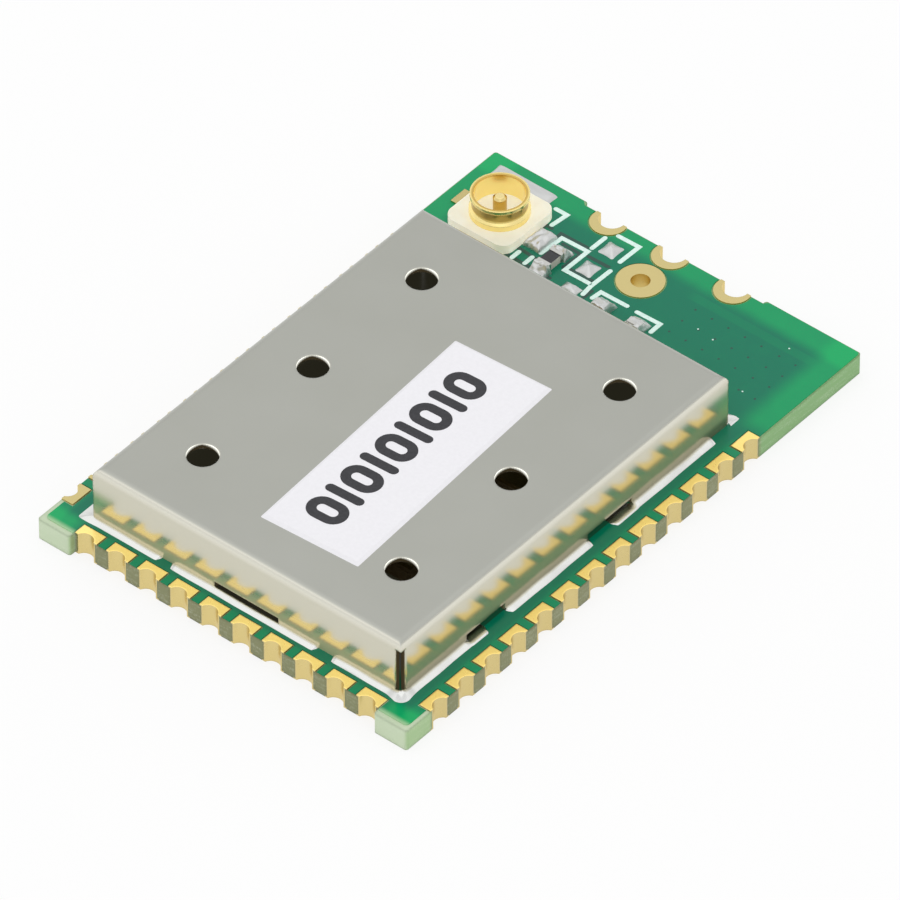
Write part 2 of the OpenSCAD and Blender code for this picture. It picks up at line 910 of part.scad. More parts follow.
module matching_inductor() {
    color(inductor_grey)
        chips_at([matching_inductor_place]);
}

module outer_chip_caps() {
    color(lead_tin)
        for (place = outer_chip_places)
            at_place(place)
                chip_caps();
}

module outer_chip_solder() {
    color(solder_silver)
        for (place = outer_chip_places)
            at_place(place)
                chip_fillets();
}

module empty_pad_solder() {
    color(solder_silver)
        for (i = [0, 1])
            translate([empty_pad_x, resistor_y + empty_pad_ahead + i * empty_pad_pitch, board_t])
                rotate(90)
                    solder_mound(empty_pad_l, empty_pad_w, empty_pad_h);
}

// Lead frame of a flat square package: a row of leads on each side and the die pad
module lead_frame(w, count) {
    pad = w - 2 * (lead_l + die_pad_gap);
    translate([0, 0, lead_t / 2])
        cube([pad, pad, lead_t], center = true);
    for (turn = [0 : 90 : 270], i = [0 : count - 1])
        rotate(turn)
            translate([(i - (count - 1) / 2) * lead_pitch - lead_w / 2, w / 2 - lead_l, 0])
                cube([lead_w, lead_l, lead_t]);
}

// Moulded body of that package, with a dimple at the first lead
module package_body(w, count) {
    difference() {
        translate([0, 0, package_h / 2])
            cube([w, w, package_h], center = true);
        lead_frame(w, count);
        translate([-w / 2 + dimple_inset, w / 2 - dimple_inset, package_h - dimple_depth])
            cylinder(d = dimple_d, h = dimple_depth + over);
    }
}

module controller_chip() {
    color(package_black)
        translate([package_x, controller_y, board_t])
            package_body(controller_w, controller_lead_count);
}

module controller_leads() {
    color(lead_tin)
        translate([package_x, controller_y, board_t])
            lead_frame(controller_w, controller_lead_count);
}

module transceiver_chip() {
    color(package_black)
        translate([package_x, transceiver_y, board_t])
            package_body(transceiver_w, transceiver_lead_count);
}

module transceiver_leads() {
    color(lead_tin)
        translate([package_x, transceiver_y, board_t])
            lead_frame(transceiver_w, transceiver_lead_count);
}

// Block on the board, centred on x and y
module board_block(x, y, z, w, l, h) {
    translate([x - w / 2, y - l / 2, board_t + z])
        cube([w, l, h]);
}

module crystal_lid(x, y, w, l) {
    board_block(x, y, crystal_case_h, w - 2 * crystal_rim, l - 2 * crystal_rim, crystal_lid_h);
}

module radio_crystal_case() {
    color(crystal_brown)
        board_block(radio_crystal_x, radio_crystal_y, 0, radio_crystal_w, radio_crystal_l, crystal_case_h);
}

module radio_crystal_lid() {
    color(crystal_lid_gold)
        crystal_lid(radio_crystal_x, radio_crystal_y, radio_crystal_w, radio_crystal_l);
}

module clock_crystal_case() {
    color(crystal_brown)
        board_block(clock_crystal_x, clock_crystal_y, 0, clock_crystal_w, clock_crystal_l, crystal_case_h);
}

module clock_crystal_lid() {
    color(crystal_lid_gold)
        crystal_lid(clock_crystal_x, clock_crystal_y, clock_crystal_w, clock_crystal_l);
}

module harmonic_filter() {
    color(filter_blue)
        board_block(filter_x, filter_y, 0, filter_w, filter_l, filter_h);
}

module inner_capacitors() {
    color(capacitor_tan)
        chips_at(capacitor_places);
}

module balun_inductors() {
    color(inductor_grey)
        chips_at(balun_places);
}

module bias_resistors() {
    color(resistor_black)
        chips_at(bias_places);
}

module inner_chip_caps() {
    color(lead_tin)
        for (place = inner_chip_places)
            at_place(place)
                chip_caps();
}

board();
front_pads();
left_pads();
right_pads();
antenna_edge_pads();
antenna_hole_ring();
shield_can();
shield_solder();
label();
coax_base();
coax_shell();
coax_pin();
coax_solder();
series_resistor();
matching_capacitor();
matching_inductor();
outer_chip_caps();
outer_chip_solder();
empty_pad_solder();
controller_chip();
controller_leads();
transceiver_chip();
transceiver_leads();
radio_crystal_case();
radio_crystal_lid();
clock_crystal_case();
clock_crystal_lid();
harmonic_filter();
inner_capacitors();
balun_inductors();
bias_resistors();
inner_chip_caps();
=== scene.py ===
"""Looks of a surface-mount radio module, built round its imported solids.

Sizes are millimetres in the module's own frame: origin at the middle of the board's underside, +Y towards the
antenna end, +Z up. Meshes go to Blender in metres.
"""

import logging
import math
from dataclasses import dataclass, field
from enum import Enum
from functools import partial
from typing import Callable, Mapping, Optional, Sequence, Union

import bpy
from mathutils import Matrix, Vector, geometry, noise


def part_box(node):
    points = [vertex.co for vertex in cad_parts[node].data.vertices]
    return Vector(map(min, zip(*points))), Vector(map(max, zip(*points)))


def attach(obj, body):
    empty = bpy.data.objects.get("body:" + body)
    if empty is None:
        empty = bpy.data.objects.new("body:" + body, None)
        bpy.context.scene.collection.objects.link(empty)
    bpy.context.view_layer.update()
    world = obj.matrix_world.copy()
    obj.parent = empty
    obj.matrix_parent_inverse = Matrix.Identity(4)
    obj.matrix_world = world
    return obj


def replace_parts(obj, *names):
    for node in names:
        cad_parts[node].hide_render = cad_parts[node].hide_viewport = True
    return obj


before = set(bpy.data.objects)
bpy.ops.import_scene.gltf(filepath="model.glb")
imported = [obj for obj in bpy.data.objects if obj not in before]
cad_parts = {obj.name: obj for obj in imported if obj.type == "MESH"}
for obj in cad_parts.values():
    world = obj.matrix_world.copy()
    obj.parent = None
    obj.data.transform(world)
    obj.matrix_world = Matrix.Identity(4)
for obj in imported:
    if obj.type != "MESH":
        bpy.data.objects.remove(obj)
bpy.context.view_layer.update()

LOG = logging.getLogger("radio_module")
MM = 0.001
BEVEL_SAMPLES = 6
SHELTER_SAMPLES = 8
WHITE = "#ffffff"

Point = tuple[float, float]
Loop = list[Point]
Node = bpy.types.Node
Socket = bpy.types.NodeSocket
Input = Union[float, str, tuple, Node, Socket]
Adder = Callable[..., Node]
Axes = Mapping[str, Socket]
Limit = tuple[Union[Node, Socket], float, float]


def hex_linear(code: str) -> tuple[float, float, float, float]:
    """Turns an sRGB hex colour into a linear one.

    Args:
        code: The colour as "#rrggbb".

    Returns:
        Linear red, green and blue, and an alpha of 1.
    """
    channels = [int(code[i:i + 2], 16) / 255 for i in (1, 3, 5)]
    red, green, blue = [c / 12.92 if c <= 0.04045 else ((c + 0.055) / 1.055) ** 2.4 for c in channels]
    return red, green, blue, 1.0


def per_mm(size: float) -> float:
    """Gives the texture scale at which one feature is that many millimetres across."""
    return 1 / (size * MM)


def add_node(
    tree: bpy.types.NodeTree, kind: str, inputs: Union[tuple, dict[str, Input]] = (), **settings: object
) -> Node:
    """Adds a shader node with its settings and links.

    Args:
        tree: The node tree that takes the node.
        kind: The node's type without its ShaderNode prefix.
        inputs: Numbers, hex colours, outputs, or nodes for their first output in use: a tuple fills the inputs in
            use from the first one on, a dictionary gives their names.
        **settings: Attributes of the node itself.

    Returns:
        The new node.
    """
    node = tree.nodes.new("ShaderNode" + kind)
    for name, value in settings.items():
        setattr(node, name, value)
    named = isinstance(inputs, dict)
    sockets = [node.inputs[name] for name in inputs] if named else [socket for socket in node.inputs if socket.enabled]
    for socket, value in zip(sockets, inputs.values() if named else inputs):
        source = next(out for out in value.outputs if out.enabled) if isinstance(value, Node) else value
        if isinstance(source, Socket):
            tree.links.new(source, socket)
        else:
            socket.default_value = hex_linear(source) if isinstance(source, str) else source
    return node


class Ramp(Enum):
    """How a zone's border fades."""

    EVEN = "LINEAR"
    SOFT = "SMOOTHSTEP"


def zone(add: Adder, limits: Sequence[Limit], full: Input = 1.0, unit: float = MM, ramp: Ramp = Ramp.EVEN) -> Node:
    """Marks part of a surface: fades multiplied with each other.

    Args:
        add: Adds a node to the material.
        limits: For each fade what it follows, where it starts and where it is complete.
        full: Strength inside the zone.
        unit: Unit of the limits, in metres; 1 for limits that are no lengths.
        ramp: How the fades run.

    Returns:
        The node that gives the strength.
    """
    amount = full
    for source, start, stop in limits:
        fade = add("MapRange", (source, start * unit, stop * unit), interpolation_type=ramp.value)
        amount = add("Math", (amount, fade), operation="MULTIPLY")
    return amount


@dataclass(frozen=True)
class Finish:
    """What every finish has: a name, and a material that is made once."""

    name: str

    def build(self) -> bpy.types.Material:
        """Makes the material on first use.

        Returns:
            The material of this finish.
        """
        made = bpy.data.materials.get(self.name)
        if made is None:
            made = bpy.data.materials.new(self.name)
            made.use_nodes = True
            made.node_tree.nodes.clear()
            add = partial(add_node, made.node_tree)
            add("OutputMaterial", {"Surface": self.surface(add)})
        return made

    def surface(self, add: Adder) -> Node:
        """Adds the nodes of the surface; each kind of finish has its own."""
        raise NotImplementedError


@dataclass(frozen=True)
class PlatedMetal(Finish):
    """Metal plate with a fine grain: level faces and upright ones may differ in tone, and level faces glow by lift, a
    painted highlight.
    """

    face: str = "#d0d0d0"
    side: str = "#d0d0d0"
    roughness: float = 0.3
    spread: float = 0.05
    grain: float = 0.1
    relief: float = 0.001
    edge: float = 0.02
    lift: float = 0.0

    def surface(self, add: Adder) -> Node:
        """Adds grain in the gloss and the relief, and rounds the edges' highlights.

        Args:
            add: Adds a node to the material.

        Returns:
            The shader node.
        """
        place = add("TexCoord").outputs["Object"]
        facing = add("SeparateXYZ", (add("NewGeometry").outputs["Normal"],)).outputs
        level = add("Math", (facing["Z"],), operation="ABSOLUTE")
        tone = self.tone(add, place, level)
        grain = add("TexNoise", {"Vector": place, "Scale": per_mm(self.grain), "Detail": 4.0})
        matt, bright = self.roughness + self.spread, self.roughness - self.spread
        rounded = add("Bevel", {"Radius": self.edge * MM}, samples=BEVEL_SAMPLES)
        return add(
            "BsdfPrincipled",
            {
                "Base Color": tone,
                "Metallic": 1.0,
                "Roughness": add("MapRange", {"Value": grain, "To Min": bright, "To Max": matt}),
                "Normal": add("Bump", {"Distance": self.relief * MM, "Height": grain, "Normal": rounded}),
                # Level faces glow with their own tone by lift: a painted highlight
                "Emission Color": tone,
                "Emission Strength": add("Math", (level, self.lift), operation="MULTIPLY"),
            },
        )

    def tone(self, add: Adder, place: Socket, level: Node) -> Node:
        """Blends the tones of level and upright faces."""
        return add("Mix", (level, self.side, self.face), data_type="RGBA")


@dataclass(frozen=True)
class StampedGold(PlatedMetal):
    """Gold plate on the receptacle's stamped ring: a painted dark reflection in the snap groove, painted shade at the
    mouth, and darker and greyer on the feet.
    """

    groove: str = "#b39a55"
    mouth: str = "#dcba66"
    foot: str = "#d2c186"
    centre: Point = (-5.3, 8.76)
    groove_r: Point = (0.87, 0.89)
    groove_low: Point = (1.46, 1.54)
    groove_high: Point = (1.86, 1.78)
    mouth_r: Point = (0.93, 0.9)
    mouth_z: Point = (1.9, 1.95)
    foot_z: Point = (1.1, 0.95)

    def tone(self, add: Adder, place: Socket, level: Node) -> Node:
        """Paints a dark reflection in the groove outside the bore and shade at the bore's mouth, and darkens the feet.

        Args:
            add: Adds a node to the material.
            place: The place on the module.
            level: How level the face is.

        Returns:
            The node that gives the colour.
        """
        x, y = self.centre
        apart = add("VectorMath", (place, (x * MM, y * MM, 0.0)), operation="SUBTRACT")
        flat = add("VectorMath", (apart, (1.0, 1.0, 0.0)), operation="MULTIPLY")
        radius = add("VectorMath", (flat,), operation="LENGTH")
        height = add("SeparateXYZ", (place,)).outputs["Z"]
        colour = super().tone(add, place, level)
        # Painted dark reflection in the groove and painted shade at the mouth; the feet turn darker and greyer
        for code, limits in (
            (self.groove, [(radius, *self.groove_r), (height, *self.groove_low), (height, *self.groove_high)]),
            (self.mouth, [(radius, *self.mouth_r), (height, *self.mouth_z)]),
            (self.foot, [(height, *self.foot_z)]),
        ):
            colour = add("Mix", (zone(add, limits), colour, code), data_type="RGBA")
        return colour


@dataclass(frozen=True)
class TinPlate(Finish):
    """Tin-plated steel sheet: grey satin as rolled, darkened on top as painted shade, bright at the bends as a painted
    highlight, and dark on its cut edges as painted shade.
    """

    rolled: str = "#aeafa7"
    clouds: str = "#b5b6af"
    bend_highlight: str = "#e2e0d3"
    wall: str = "#cfccbb"
    film: str = "#e6dbb4"
    foot_shade: str = "#aaa488"
    cut_shade: str = "#372f20"
    rim: str = "#f6f6ec"
    rolled_gloss: float = 0.32
    wall_gloss: float = 0.17
    edge: float = 0.09
    lean: float = 0.028
    haze: float = 0.12
    film_share: float = 0.32
    film_z: Point = (1.9, 1.15)
    film_drop: float = -0.25
    foot_shade_z: Point = (1.3, 1.08)
    cloud: float = 2.5
    roll_width: float = 0.05
    roll_length: float = 1.5
    roll_relief: float = 0.0004
    middle: Point = (0.1, -2.08)
    half: Point = (6.25, 8.0)
    cut_inset: Point = (0.04, 0.07)
    rim_z: Point = (2.66, 2.9)
    rim_rise: Point = (-1.55, 0.45)
    rim_across: float = 0.8
    rim_slope: Point = (0.3, 0.1)
    cut_slope: Point = (0.5, 0.2)
    bend_highlight_slope: Point = (0.0, 0.8)
    rolled_slope: Point = (0.8, 0.97)
    gloss_slope: Point = (0.5, 1.0)
    clear_slope: Point = (0.2, 0.8)
    right_shift: float = 0.2
    far_shift: float = 0.7
    film_right: float = 0.3

    def cut_edges(self, add: Adder, place: Axes, slope: Socket) -> tuple[Node, Node]:
        """Finds the punched edges inside the can's outline.

        Args:
            add: Adds a node to the material.
            place: The place on the module, axis by axis.
            slope: How level the sheet is.

        Returns:
            The share of cut steel, and its colour: painted shade, with a painted highlight as a bright crescent at a
                vent's upper rim.
        """
        inner, outer = self.cut_inset
        limits = []
        for axis, middle, half in zip("XY", self.middle, self.half):
            away = add("Math", (place[axis], middle * MM), operation="SUBTRACT")
            limits.append((add("Math", (away,), operation="ABSOLUTE"), half - inner, half - outer))
        within = zone(add, limits)
        level = add("Math", (slope,), operation="ABSOLUTE")
        cut = zone(add, [(level, *self.cut_slope)], within, unit=1.0, ramp=Ramp.SOFT)
        flat = add("SeparateXYZ", (add("NewGeometry").outputs["True Normal"],)).outputs
        across = add("Math", (flat["X"], flat["Y"]), operation="ADD")
        across = add("Math", (across,), operation="ABSOLUTE")
        low, high = self.rim_z
        depth = add("MapRange", (place["Z"], low * MM, high * MM, *self.rim_rise))
        rim = add("Math", (across, self.rim_across, depth), operation="MULTIPLY_ADD", use_clamp=True)
        rim = add("Math", (rim, within), operation="MULTIPLY")
        steep = add("Math", (flat["Z"],), operation="ABSOLUTE")
        rim = zone(add, [(steep, *self.rim_slope)], rim, unit=1.0)
        # Painted shade on the cut edges, with a painted highlight on the vents' upper rims
        colour = add("Mix", (rim, self.cut_shade, self.rim), data_type="RGBA")
        return add("Math", (cut, rim), operation="MAXIMUM"), colour

    def walls(self, add: Adder, place: Axes, facing: Axes) -> tuple[Node, Node]:
        """Lays a film of dried flux along the walls' foot, with painted shade below it on the right wall.

        Args:
            add: Adds a node to the material.
            place: The place on the module, axis by axis.
            facing: Where the sheet faces, axis by axis.

        Returns:
            The film's share, and the walls' colour.
        """
        height = (facing["X"], self.film_drop * MM, place["Z"])
        foot = zone(add, [(add("Math", height, operation="MULTIPLY_ADD"), *self.film_z)], ramp=Ramp.SOFT)
        # Painted shade low on the right wall, mixed into the flux film
        shaded = zone(add, [(place["Z"], *self.foot_shade_z)])
        shaded = add("Math", (shaded, facing["X"]), operation="MULTIPLY", use_clamp=True)
        film = add("Mix", (shaded, self.film, self.foot_shade), data_type="RGBA")
        return foot, add("Mix", (foot, self.wall, film), data_type="RGBA")

    def surface(self, add: Adder) -> Node:
        """Adds the tones by the sheet's slope, which paint light and shade, clouds in the tin and rolling lines along
        the sheet.

        Args:
            add: Adds a node to the material.

        Returns:
            The shader node.
        """
        coords = add("TexCoord").outputs["Object"]
        place = add("SeparateXYZ", (coords,)).outputs
        rounded = add("Bevel", {"Radius": self.edge * MM}, samples=BEVEL_SAMPLES)
        facing = add("SeparateXYZ", (rounded,)).outputs
        slope = facing["Z"]
        cut, punched = self.cut_edges(add, place, slope)
        foot, tone = self.walls(add, place, facing)
        # The bends on the left and at the back turn away from the light, so they are grey almost to their foot
        late = add("Math", (facing["X"], self.right_shift, slope), operation="MULTIPLY_ADD")
        far = add("Math", (facing["Y"], facing["X"]), operation="SUBTRACT")
        far = add("Math", (far, 0.0), operation="MAXIMUM")
        late = add("Math", (far, self.far_shift, late), operation="MULTIPLY_ADD")
        clouds = add("TexNoise", {"Vector": coords, "Scale": per_mm(self.cloud), "Detail": 4.0})
        sheet = add("Mix", (clouds, self.rolled, self.clouds), data_type="RGBA")
        # Painted highlights at the bends, then the grey top, darkened as painted shade
        for source, limits, colour in ((slope, self.bend_highlight_slope, self.bend_highlight), (late, self.rolled_slope, sheet)):
            share = zone(add, [(source, *limits)], unit=1.0, ramp=Ramp.SOFT)
            tone = add("Mix", (share, tone, colour), data_type="RGBA")
        tone = add("Mix", (cut, tone, punched), data_type="RGBA")
        stretch = (1.0, self.roll_width / self.roll_length, 1.0)
        along = add("Mapping", {"Vector": coords, "Scale": stretch})
        lines = add("TexNoise", {"Vector": along, "Scale": per_mm(self.roll_width), "Detail": 2.0})
        gloss, clear = (
            add("MapRange", (slope, *limits), interpolation_type=Ramp.SOFT.value)
            for limits in (
                (*self.gloss_slope, self.wall_gloss, self.rolled_gloss),
                (*self.clear_slope, 1 - self.haze, 1.0),
            )
        )
        thin = (facing["X"], 0.0, 1.0, -self.film_share, -self.film_right * self.film_share)
        metal = add("Math", (foot, add("MapRange", thin), clear), operation="MULTIPLY_ADD")
        leaning = add("VectorMath", (rounded, (0.0, 0.0, self.lean)), operation="ADD")
        upright = add("VectorMath", (leaning,), operation="NORMALIZE")
        return add(
            "BsdfPrincipled",
            {
                "Base Color": tone,
                "Metallic": metal,
                "Roughness": gloss,
                "Normal": add("Bump", {"Distance": self.roll_relief * MM, "Height": lines, "Normal": upright}),
                # The cut edges glow with their painted colour, so the vents' rims shine as a painted highlight
                "Emission Color": punched,
                "Emission Strength": cut,
            },
        )


@dataclass(frozen=True)
class SolderMask(Finish):
    """Green epoxy ink cured to a gloss: dark where copper lies under it, bright where light leaves the laminate."""

    over_copper: str = "#00785a"
    over_laminate: str = "#0cac64"
    under_can_shade: str = "#201f17"
    under_slot_glow: str = "#0c3422"
    frayed: str = "#a8cfa0"
    roughness: float = 0.2
    cloud: float = 0.8
    cloud_share: float = 0.05
    cloud_limits: Point = (0.3, 0.7)
    ior: float = 1.52
    sheen: float = 0.3
    peel: float = 0.25
    peel_relief: float = 0.003
    peel_strength: float = 0.4

    def surface(self, add: Adder) -> Node:
        """Adds the two greens, blended by the distance from the bare borders of the board.

        Args:
            add: Adds a node to the material.

        Returns:
            The shader node.
        """
        coords = add("TexCoord").outputs["Object"]
        place = add("SeparateXYZ", (coords,)).outputs
        x, y = place["X"], place["Y"]
        width = add("Math", (x,), operation="ABSOLUTE")
        # Strength of each zone, and its limits in millimetres
        zones = {
            key: zone(add, limits, full, ramp=Ramp.SOFT)
            for key, full, limits in (
                ("side", 0.63, [(width, 6.2, 7.0), (y, 5.8, 6.8)]),
                ("end", 0.62, [(y, 10.0, 10.6)]),
                ("row", 0.3, [(y, -10.35, -10.6), (width, 6.2, 6.0)]),
                ("column", 0.33, [(width, 6.8, 7.1), (y, 6.0, 5.7)]),
                ("block", 0.8, [(width, 6.0, 6.6), (y, -10.15, -10.6)]),
                ("fence", 0.14, [(x, 1.5, 1.9), (x, 6.7, 6.4), (y, 9.66, 9.74), (y, 10.08, 10.0)]),
                ("can", 1.0, [(x, -6.15, -6.12), (x, 6.35, 6.32), (y, -10.08, -10.05), (y, 5.92, 5.89)]),
                ("slot", 1.0, [(x, 5.3, 6.0)]),
                ("fray", 1.0, [(width, 6.0, 6.3), (y, -10.78, -11.02)]),
            )
        }
        clouds = add("TexNoise", {"Vector": coords, "Scale": per_mm(self.cloud), "Detail": 3.0})
        bare = add("MapRange", (clouds, *self.cloud_limits, -self.cloud_share, self.cloud_share))
        for key in ("side", "end", "row", "column", "block", "fence"):
            bare = add("Math", (bare, zones[key]), operation="ADD", use_clamp=key == "fence")
        tone = add("Mix", (bare, self.over_copper, self.over_laminate), data_type="RGBA")
        # Under the can the mask is painted: dark brown shade, and a dark green by the right wall's slots
        inside = add("Mix", (zones["slot"], self.under_can_shade, self.under_slot_glow), data_type="RGBA")
        for key, colour in (("fray", self.frayed), ("can", inside)):
            tone = add("Mix", (zones[key], tone, colour), data_type="RGBA")
        peel = add("TexNoise", {"Vector": coords, "Scale": per_mm(self.peel), "Detail": 2.0})
        relief = {"Strength": self.peel_strength, "Distance": self.peel_relief * MM, "Height": peel}
        return add(
            "BsdfPrincipled",
            {
                "Base Color": tone,
                "Roughness": self.roughness,
                "IOR": self.ior,
                "Specular IOR Level": self.sheen,
                "Normal": add("Bump", relief),
                # The painted colour under the can also glows: painted light that shows through the slots and vents
                "Emission Color": inside,
                "Emission Strength": zones["can"],
            },
        )


@dataclass(frozen=True)
class GlassEpoxy(Finish):
    """Cut edge of glass-epoxy laminate: thin layers of fabric in resin, olive along the edges with the half holes."""

    routed: str = "#80ac6e"
    block: str = "#c6d6b6"
    block_side: str = "#a3c28d"
    drilled: str = "#7e8158"
    fibre: str = "#e2e9d4"
    fibre_share: float = 0.24
    fibre_limits: Point = (0.24, 0.46)
    fibre_relief: float = 0.008
    fibre_strength: float = 0.4
    roughness: float = 0.5
    ior: float = 1.55
    past_y: Point = (6.0, 6.2)
    corner_y: Point = (-9.9, -10.1)
    corner_x: Point = (6.12, 6.2)
    side_slope: Point = (0.2, 0.9)
    layer: float = 0.12
    layer_stretch: float = 0.12
    speck: float = 0.06
    edge: float = 0.18

    def surface(self, add: Adder) -> Node:
        """Adds the tones along the edge, the layers and the cut fibre ends.

        Args:
            add: Adds a node to the material.

        Returns:
            The shader node.
        """
        coords = add("TexCoord").outputs["Object"]
        place = add("SeparateXYZ", (coords,)).outputs
        rounded = add("Bevel", {"Radius": self.edge * MM}, samples=BEVEL_SAMPLES)
        facing = add("SeparateXYZ", (rounded,)).outputs
        width = add("Math", (place["X"],), operation="ABSOLUTE")
        past = zone(add, [(place["Y"], *self.past_y)])
        corner = zone(add, [(place["Y"], *self.corner_y), (width, *self.corner_x)])
        side = zone(add, [(facing["X"], *self.side_slope)], unit=1.0)
        edge = add("Mix", (past, self.drilled, self.routed), data_type="RGBA")
        block = add("Mix", (side, self.block, self.block_side), data_type="RGBA")
        tone = add("Mix", (corner, edge, block), data_type="RGBA")
        stretch = (self.layer_stretch, self.layer_stretch, 1.0)
        flat = add("Mapping", {"Vector": coords, "Scale": stretch})
        layers = add("TexNoise", {"Vector": flat, "Scale": per_mm(self.layer), "Detail": 3.0})
        specks = add("TexNoise", {"Vector": coords, "Scale": per_mm(self.speck), "Detail": 2.0})
        pale = add("Math", (layers, specks), operation="MULTIPLY")
        share = add("MapRange", (pale, *self.fibre_limits, 0.0, self.fibre_share))
        relief = {"Strength": self.fibre_strength, "Distance": self.fibre_relief * MM, "Height": pale}
        return add(
            "BsdfPrincipled",
            {
                "Base Color": add("Mix", (share, tone, self.fibre), data_type="RGBA"),
                "Roughness": self.roughness,
                "IOR": self.ior,
                "Normal": add("Bump", {**relief, "Normal": rounded}),
            },
        )


@dataclass(frozen=True)
class Moulded(Finish):
    """Opaque moulded, fired, printed or pressed stuff with a faint mottle and a fine relief."""

    colour: str = "#808080"
    mottle: str = "#707070"
    roughness: float = 0.5
    ior: float = 1.5
    mottle_limits: Point = (0.35, 0.65)
    grain: float = 0.15
    relief: float = 0.004
    relief_strength: float = 0.5
    glow: float = 0.0
    glow_depth: tuple[float, ...] = (0.3, 0.25, 0.2)
    lift: float = 0.0
    shelter_glow: float = 0.0
    shelter_reach: float = 1.5
    upright: Optional[str] = None

    def surface(self, add: Adder) -> Node:
        """Adds the mottle, the relief and a little light under the surface, and a painted glow of its own colour by
        lift, stronger where the surface is sheltered.

        Args:
            add: Adds a node to the material.

        Returns:
            The shader node.
        """
        place = add("TexCoord").outputs["Object"]
        grain = add("TexNoise", {"Vector": place, "Scale": per_mm(self.grain), "Detail": 4.0})
        share = add("MapRange", (grain, *self.mottle_limits))
        tone = add("Mix", (share, self.colour, self.mottle), data_type="RGBA")
        if self.upright:
            facing = add("SeparateXYZ", (add("NewGeometry").outputs["Normal"],)).outputs
            tone = add("Mix", (facing["Z"], self.upright, tone), data_type="RGBA")
        relief = {"Strength": self.relief_strength, "Distance": self.relief * MM, "Height": grain}
        # Painted light: the surface glows with its own colour, more where ambient occlusion finds it sheltered
        lift = self.lift
        if self.shelter_glow:
            free = add("AmbientOcclusion", {"Distance": self.shelter_reach * MM}, samples=SHELTER_SAMPLES)
            lift = add("MapRange", (free.outputs["AO"], 0.0, 1.0, self.lift + self.shelter_glow, self.lift))
        return add(
            "BsdfPrincipled",
            {
                "Base Color": tone,
                "Roughness": self.roughness,
                "IOR": self.ior,
                "Subsurface Weight": self.glow,
                "Subsurface Radius": tuple(depth * MM for depth in self.glow_depth),
                "Subsurface Scale": 1.0,
                "Normal": add("Bump", relief),
                "Emission Color": tone,
                "Emission Strength": lift,
            },
        )


# Immersion gold on copper: a thin satin gold, paler in the drilled half barrels; its lands are brighter and glow
# faintly, a painted highlight
EDGE_GOLD = PlatedMetal(
    "immersion_gold_satin", "#ffe288", "#d9c68a", roughness=0.28, spread=0.02, grain=0.1, edge=0.06, lift=0.14
)
# The same gold on the front row, a lit copy: its lands glow more, a painted highlight where they face the lamps
FRONT_GOLD = PlatedMetal(
    "immersion_gold_bright", "#f6dd88", "#dfcb8b", roughness=0.28, spread=0.02, grain=0.1, edge=0.06, lift=0.3
)
# Immersion gold on wide lands: matt from the etched copper below
RING_GOLD = PlatedMetal("immersion_gold_matt", "#d8c88c", "#e6cf84", roughness=0.42, grain=0.06)
# Thick polished gold plate on a stamped ring: a warm mirror, with a painted dark reflection in its groove and painted
# shade at its mouth
CONTACT_GOLD = StampedGold(
    "gold_plate_polished", "#ffe99c", "#ffea9e", roughness=0.22, spread=0.03, grain=0.3, edge=0.04
)
# The same plate on a turned pin: a deeper, darker gold on its flank, which is painted shade
PIN_GOLD = PlatedMetal("gold_plate_turned", "#fbe7a4", "#c9a654", roughness=0.2, spread=0.03, grain=0.3, edge=0.04)
# Reflowed solder: bright, wavy and a little blue; greyer where it lies level and whiter where it is steep, painted
# shade and painted highlight
SOLDER = PlatedMetal("solder_reflowed", "#e0e1dd", "#f8f9fb", roughness=0.2, spread=0.06, grain=0.4, relief=0.004)
# Solder that set slowly: the same metal gone dull and grey
SOLDER_DULL = PlatedMetal(
    "solder_frosted", "#d2d3d2", "#cdcecc", roughness=0.36, spread=0.08, grain=0.25, relief=0.006
)
# Plated tin on end caps and leads: satin grey metal
END_TIN = PlatedMetal("tin_plated_satin", "#cfcfcb", "#c8c8c4", roughness=0.3, grain=0.05)
# Plated sealing lid: pale nickel with a warm cast
CRYSTAL_LID = PlatedMetal("nickel_plated_lid", "#d8cfa8", "#cfc6a0", roughness=0.25, grain=0.07)
# Rolled and folded tin plate: cloudy grey satin, darkened on top as painted shade, with pale bends that are painted
# highlights, painted shade on the cut edges and low on the right wall, and a tan film of flux low on the walls
TIN_PLATE = TinPlate("tin_plate_rolled")
# Cured solder mask: deep glossy green, brighter along the borders that have no copper
SOLDER_MASK = SolderMask("solder_mask_green")
# Mask over etched-away copper and in plugged vias: near black green
MASK_GAP = Moulded("solder_mask_over_gap", "#1d4f43", "#1a4a3e", roughness=0.2, ior=1.52, relief=0.001)
# Routed and drilled laminate: matt yellow-green, pale and milky at the broken-out corner blocks
LAMINATE = GlassEpoxy("glass_epoxy_cut")
# Coated label paper: smooth, almost without gloss, a little blue
LABEL_PAPER = Moulded("label_paper_coated", "#f2f1f5", "#efeef2", roughness=0.55, grain=0.12, relief=0.0006)
# Fused toner: near black, with a faint sheen and thin spots
TONER = Moulded("toner_fused", "#1f1f25", "#2b2b31", roughness=0.42, grain=0.1, relief=0.002)
# Screen-printed white ink: chalky, and green where the ink is thin; a faint painted glow whitens it
LEGEND_INK = Moulded("legend_ink_printed", "#e4faf3", "#d2efe5", roughness=0.5, grain=0.14, relief=0.004, lift=0.05)
# Liquid-crystal polymer as moulded: ivory, silky, light gets a little way in; a painted glow lifts it, most in
# sheltered hollows such as the receptacle's floor
IVORY = Moulded(
    "polymer_moulded_ivory", "#efecda", "#eae6d2", roughness=0.42, grain=0.5, relief=0.002, glow=0.25, lift=0.08,
    shelter_glow=0.45,
)
# Glass coat over a thick-film resistor: black and smooth, with the pale alumina below it bare at the sides
RESISTOR_BLACK = Moulded(
    "glass_coat_black", "#35353a", "#2b2b2e", roughness=0.3, grain=0.2, relief=0.002, upright="#c4c0b6"
)
